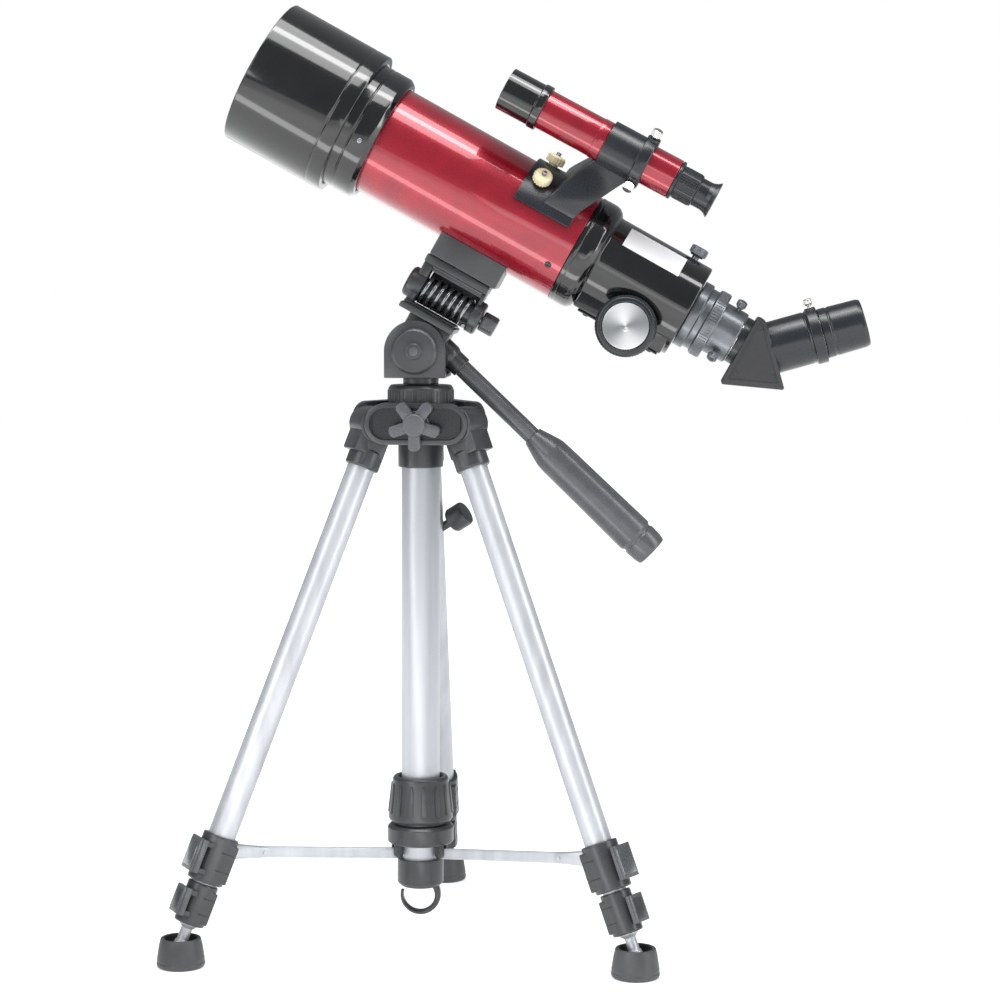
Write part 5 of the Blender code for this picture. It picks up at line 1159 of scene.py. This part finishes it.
def build_stage(sizes):
    """Pale floor with a painted glow, soft lights and the camera."""
    scene = bpy.context.scene
    scene.view_settings.view_transform = "Standard"
    sheet = bmesh.new()
    bmesh.ops.create_circle(sheet, cap_ends=True, segments=96, radius=6.0)
    mesh = bpy.data.meshes.new("pale_floor")
    sheet.to_mesh(mesh)
    sheet.free()
    floor = bpy.data.objects.new("pale_floor", mesh)
    scene.collection.objects.link(floor)
    paper = bpy.data.materials.new("white_backdrop_paper_painted_glow")
    paper.use_nodes = True
    shader = paper.node_tree.nodes["Principled BSDF"]
    shader.inputs["Base Color"].default_value = (0.88, 0.88, 0.88, 1)
    shader.inputs["Roughness"].default_value = 0.85
    # painted light: the floor glows, weaker near its middle and stronger beyond 1.3 m
    shader.inputs["Emission Color"].default_value = (1, 1, 1, 1)
    spot = add(paper.node_tree, "ShaderNodeTexCoord")
    reach = add(paper.node_tree, "ShaderNodeVectorMath", {0: spot.outputs["Object"]}, operation="LENGTH")
    glow = add(paper.node_tree, "ShaderNodeMapRange", {"Value": reach.outputs["Value"], "From Min": 0.5,
                                                       "From Max": 1.3, "To Min": 0.44, "To Max": 0.95})
    paper.node_tree.links.new(glow.outputs["Result"], shader.inputs["Emission Strength"])
    mesh.materials.append(paper)

    # a white room to the eye, dimmer and cooler where it lights the telescope
    world = bpy.data.worlds.new("white_room")
    world.use_nodes = True
    tree = world.node_tree
    dim = tree.nodes["Background"]
    dim.inputs["Color"].default_value = (0.82, 0.86, 0.9, 1)
    dim.inputs["Strength"].default_value = 0.36
    bright = add(tree, "ShaderNodeBackground", {"Color": (1, 1, 1, 1), "Strength": 1.0})
    path = add(tree, "ShaderNodeLightPath")
    mixed = add(tree, "ShaderNodeMixShader", {0: path.outputs["Is Camera Ray"], 1: dim.outputs[0],
                                              2: bright.outputs[0]})
    tree.links.new(mixed.outputs[0], tree.nodes["World Output"].inputs["Surface"])
    scene.world = world
    target = Vector((0, 0, 0.33))
    lamps = (("top_softbox", (-0.1, -0.35, 1.75), 1.3, 0.9, 18), ("front_softbox", (-1.3, -1.7, 1.2), 1.0,
                                                                  1.4, 15),
             ("right_strip", (1.7, -0.9, 0.7), 0.4, 1.5, 12), ("low_fill", (0.5, -2.2, 0.25), 1.6, 0.4, 3))
    for name, spot, wide, tall, power in lamps:
        lamp = bpy.data.lights.new(name, "AREA")
        lamp.shape = "RECTANGLE"
        lamp.size = wide
        lamp.size_y = tall
        lamp.energy = power
        item = bpy.data.objects.new(name, lamp)
        item.location = spot
        item.rotation_euler = (target - Vector(spot)).to_track_quat("-Z", "Y").to_euler()
        scene.collection.objects.link(item)

    middle = OPTICS @ Vector((40, 0, 0)) * 0.001
    up = (OPTICS.to_3x3() @ Vector((0, 0, 1))).normalized()
    along = (OPTICS.to_3x3() @ Vector((1, 0, 0))).normalized()
    for name, angle, reach, wide, long, power in (("upper_strip", 72, 1.2, 0.2, 2.6, 13),
                                                  ("lower_strip", -52, 0.52, 0.09, 1.5, 1.5)):
        toward = Vector((0, -1, 0)) * math.cos(math.radians(angle)) + up * math.sin(math.radians(angle))
        lamp = bpy.data.lights.new(name, "AREA")
        lamp.shape = "RECTANGLE"
        lamp.size = long
        lamp.size_y = wide
        lamp.energy = power
        item = bpy.data.objects.new(name, lamp)
        side = toward.cross(along)
        turn = Matrix((along, side, toward)).transposed().to_4x4()
        item.matrix_world = Matrix.Translation(middle + toward * reach) @ turn
        item.visible_camera = False
        scene.collection.objects.link(item)

    lens = bpy.data.cameras.new("camera")
    lens.sensor_width = 36
    lens.lens = sizes.lens
    lens.clip_start = 0.05
    camera = bpy.data.objects.new("camera", lens)
    dip = math.radians(5.088)
    swing = math.radians(4.29)
    ahead = Vector((-math.sin(swing) * math.cos(dip), math.cos(swing) * math.cos(dip), -math.sin(dip)))
    across = ahead.cross(Vector((0, 0, 1))).normalized()
    above = across.cross(ahead)
    basis = Matrix((across, above, -ahead)).transposed() @ Matrix.Rotation(math.radians(0.183), 3, "Z")
    camera.matrix_world = (Matrix.Translation((COLUMN[0] / 1000 + 0.1832, COLUMN[1] / 1000 - 1.7246, 0.4569))
                           @ basis.to_4x4())
    scene.collection.objects.link(camera)
    scene.camera = camera


# ---------------------------------------------------------------- add-on

class TelescopeSizes(bpy.types.PropertyGroup):
    """Sizes a user may change."""
    tube_radius: bpy.props.FloatProperty(name="Tube radius",
                                         description="Outside of the main tube, in millimetres",
                                         default=37.7, min=30, max=45)
    shield_radius: bpy.props.FloatProperty(name="Dew shield radius",
                                           description="Outside of the shield, in millimetres",
                                           default=50.2, min=46, max=60)
    lens: bpy.props.FloatProperty(name="Camera lens", description="Focal length of the view, in millimetres",
                                  default=92.41, min=20, max=200, unit="CAMERA")


class TelescopeColours(bpy.types.PropertyGroup):
    """Colours a user may change, as sRGB hex."""
    tube: bpy.props.StringProperty(name="Tube", description="Colour of the main tube", default="#980b24")
    fittings: bpy.props.StringProperty(name="Fittings", description="Colour of the black fittings",
                                       default="#131314")
    plastic: bpy.props.StringProperty(name="Plastic", description="Colour of the tripod's mouldings",
                                      default="#38393c")
    metal: bpy.props.StringProperty(name="Metal", description="Colour of the tripod's tubes",
                                    default="#b9bbbf")


class TELESCOPE_OT_tube(bpy.types.Operator):
    """Build the dew shield, cell, lens and main tube"""
    bl_idname = "telescope.tube"
    bl_label = "Optical tube"

    def execute(self, context):
        build_tube(context.scene.telescope_sizes)
        return {"FINISHED"}


class TELESCOPE_OT_focuser(bpy.types.Operator):
    """Build the focuser, its drawtube and its wheels"""
    bl_idname = "telescope.focuser"
    bl_label = "Focuser"

    def execute(self, context):
        build_focuser()
        return {"FINISHED"}


class TELESCOPE_OT_diagonal(bpy.types.Operator):
    """Build the diagonal and its eyepiece"""
    bl_idname = "telescope.diagonal"
    bl_label = "Diagonal"

    def execute(self, context):
        build_diagonal()
        return {"FINISHED"}


class TELESCOPE_OT_finder(bpy.types.Operator):
    """Build the finder and its bracket"""
    bl_idname = "telescope.finder"
    bl_label = "Finder"

    def execute(self, context):
        build_finder()
        return {"FINISHED"}


class TELESCOPE_OT_clamp(bpy.types.Operator):
    """Build the spring clamp under the tube"""
    bl_idname = "telescope.clamp"
    bl_label = "Clamp"

    def execute(self, context):
        build_clamp()
        return {"FINISHED"}


class TELESCOPE_OT_head(bpy.types.Operator):
    """Build the pan and tilt head and its handle"""
    bl_idname = "telescope.head"
    bl_label = "Head"

    def execute(self, context):
        build_head()
        return {"FINISHED"}


class TELESCOPE_OT_column(bpy.types.Operator):
    """Build the column, the chassis and the star knob"""
    bl_idname = "telescope.column"
    bl_label = "Column"

    def execute(self, context):
        build_column()
        return {"FINISHED"}


class TELESCOPE_OT_spreader(bpy.types.Operator):
    """Build the spreader, its collar and the hook"""
    bl_idname = "telescope.spreader"
    bl_label = "Spreader"

    def execute(self, context):
        build_spreader()
        return {"FINISHED"}


class TELESCOPE_OT_legs(bpy.types.Operator):
    """Build the three legs, their locks and feet"""
    bl_idname = "telescope.legs"
    bl_label = "Legs"

    def execute(self, context):
        build_legs()
        return {"FINISHED"}


class TELESCOPE_OT_stage(bpy.types.Operator):
    """Build the floor, lights and camera"""
    bl_idname = "telescope.stage"
    bl_label = "Stage"

    def execute(self, context):
        build_stage(context.scene.telescope_sizes)
        return {"FINISHED"}


OPERATORS = [TELESCOPE_OT_tube,
             TELESCOPE_OT_focuser,
             TELESCOPE_OT_diagonal,
             TELESCOPE_OT_finder,
             TELESCOPE_OT_clamp,
             TELESCOPE_OT_head,
             TELESCOPE_OT_column,
             TELESCOPE_OT_spreader,
             TELESCOPE_OT_legs,
             TELESCOPE_OT_stage]


class TELESCOPE_PT_panel(bpy.types.Panel):
    """Lists the builders and their sizes."""
    bl_label = "Telescope"
    bl_idname = "TELESCOPE_PT_panel"
    bl_space_type = "VIEW_3D"
    bl_region_type = "UI"
    bl_category = "Telescope"

    def draw(self, context):
        for group in (context.scene.telescope_sizes, context.scene.telescope_colours):
            for key in group.__annotations__:
                self.layout.prop(group, key)
        for operator in OPERATORS:
            self.layout.operator(operator.bl_idname)


CLASSES = [TelescopeSizes, TelescopeColours, *OPERATORS, TELESCOPE_PT_panel]


def register():
    """Add the classes and the settings they read."""
    for item in CLASSES:
        bpy.utils.register_class(item)
    bpy.types.Scene.telescope_sizes = bpy.props.PointerProperty(type=TelescopeSizes)
    bpy.types.Scene.telescope_colours = bpy.props.PointerProperty(type=TelescopeColours)


def unregister():
    """Take the settings and the classes away again."""
    del bpy.types.Scene.telescope_sizes
    del bpy.types.Scene.telescope_colours
    for item in reversed(CLASSES):
        bpy.utils.unregister_class(item)


def main():
    """Build everything in order."""
    register()
    for operator in OPERATORS:
        group, action = operator.bl_idname.split(".")
        getattr(getattr(bpy.ops, group), action)()
    bpy.context.view_layer.update()


if __name__ == "__main__":
    main()
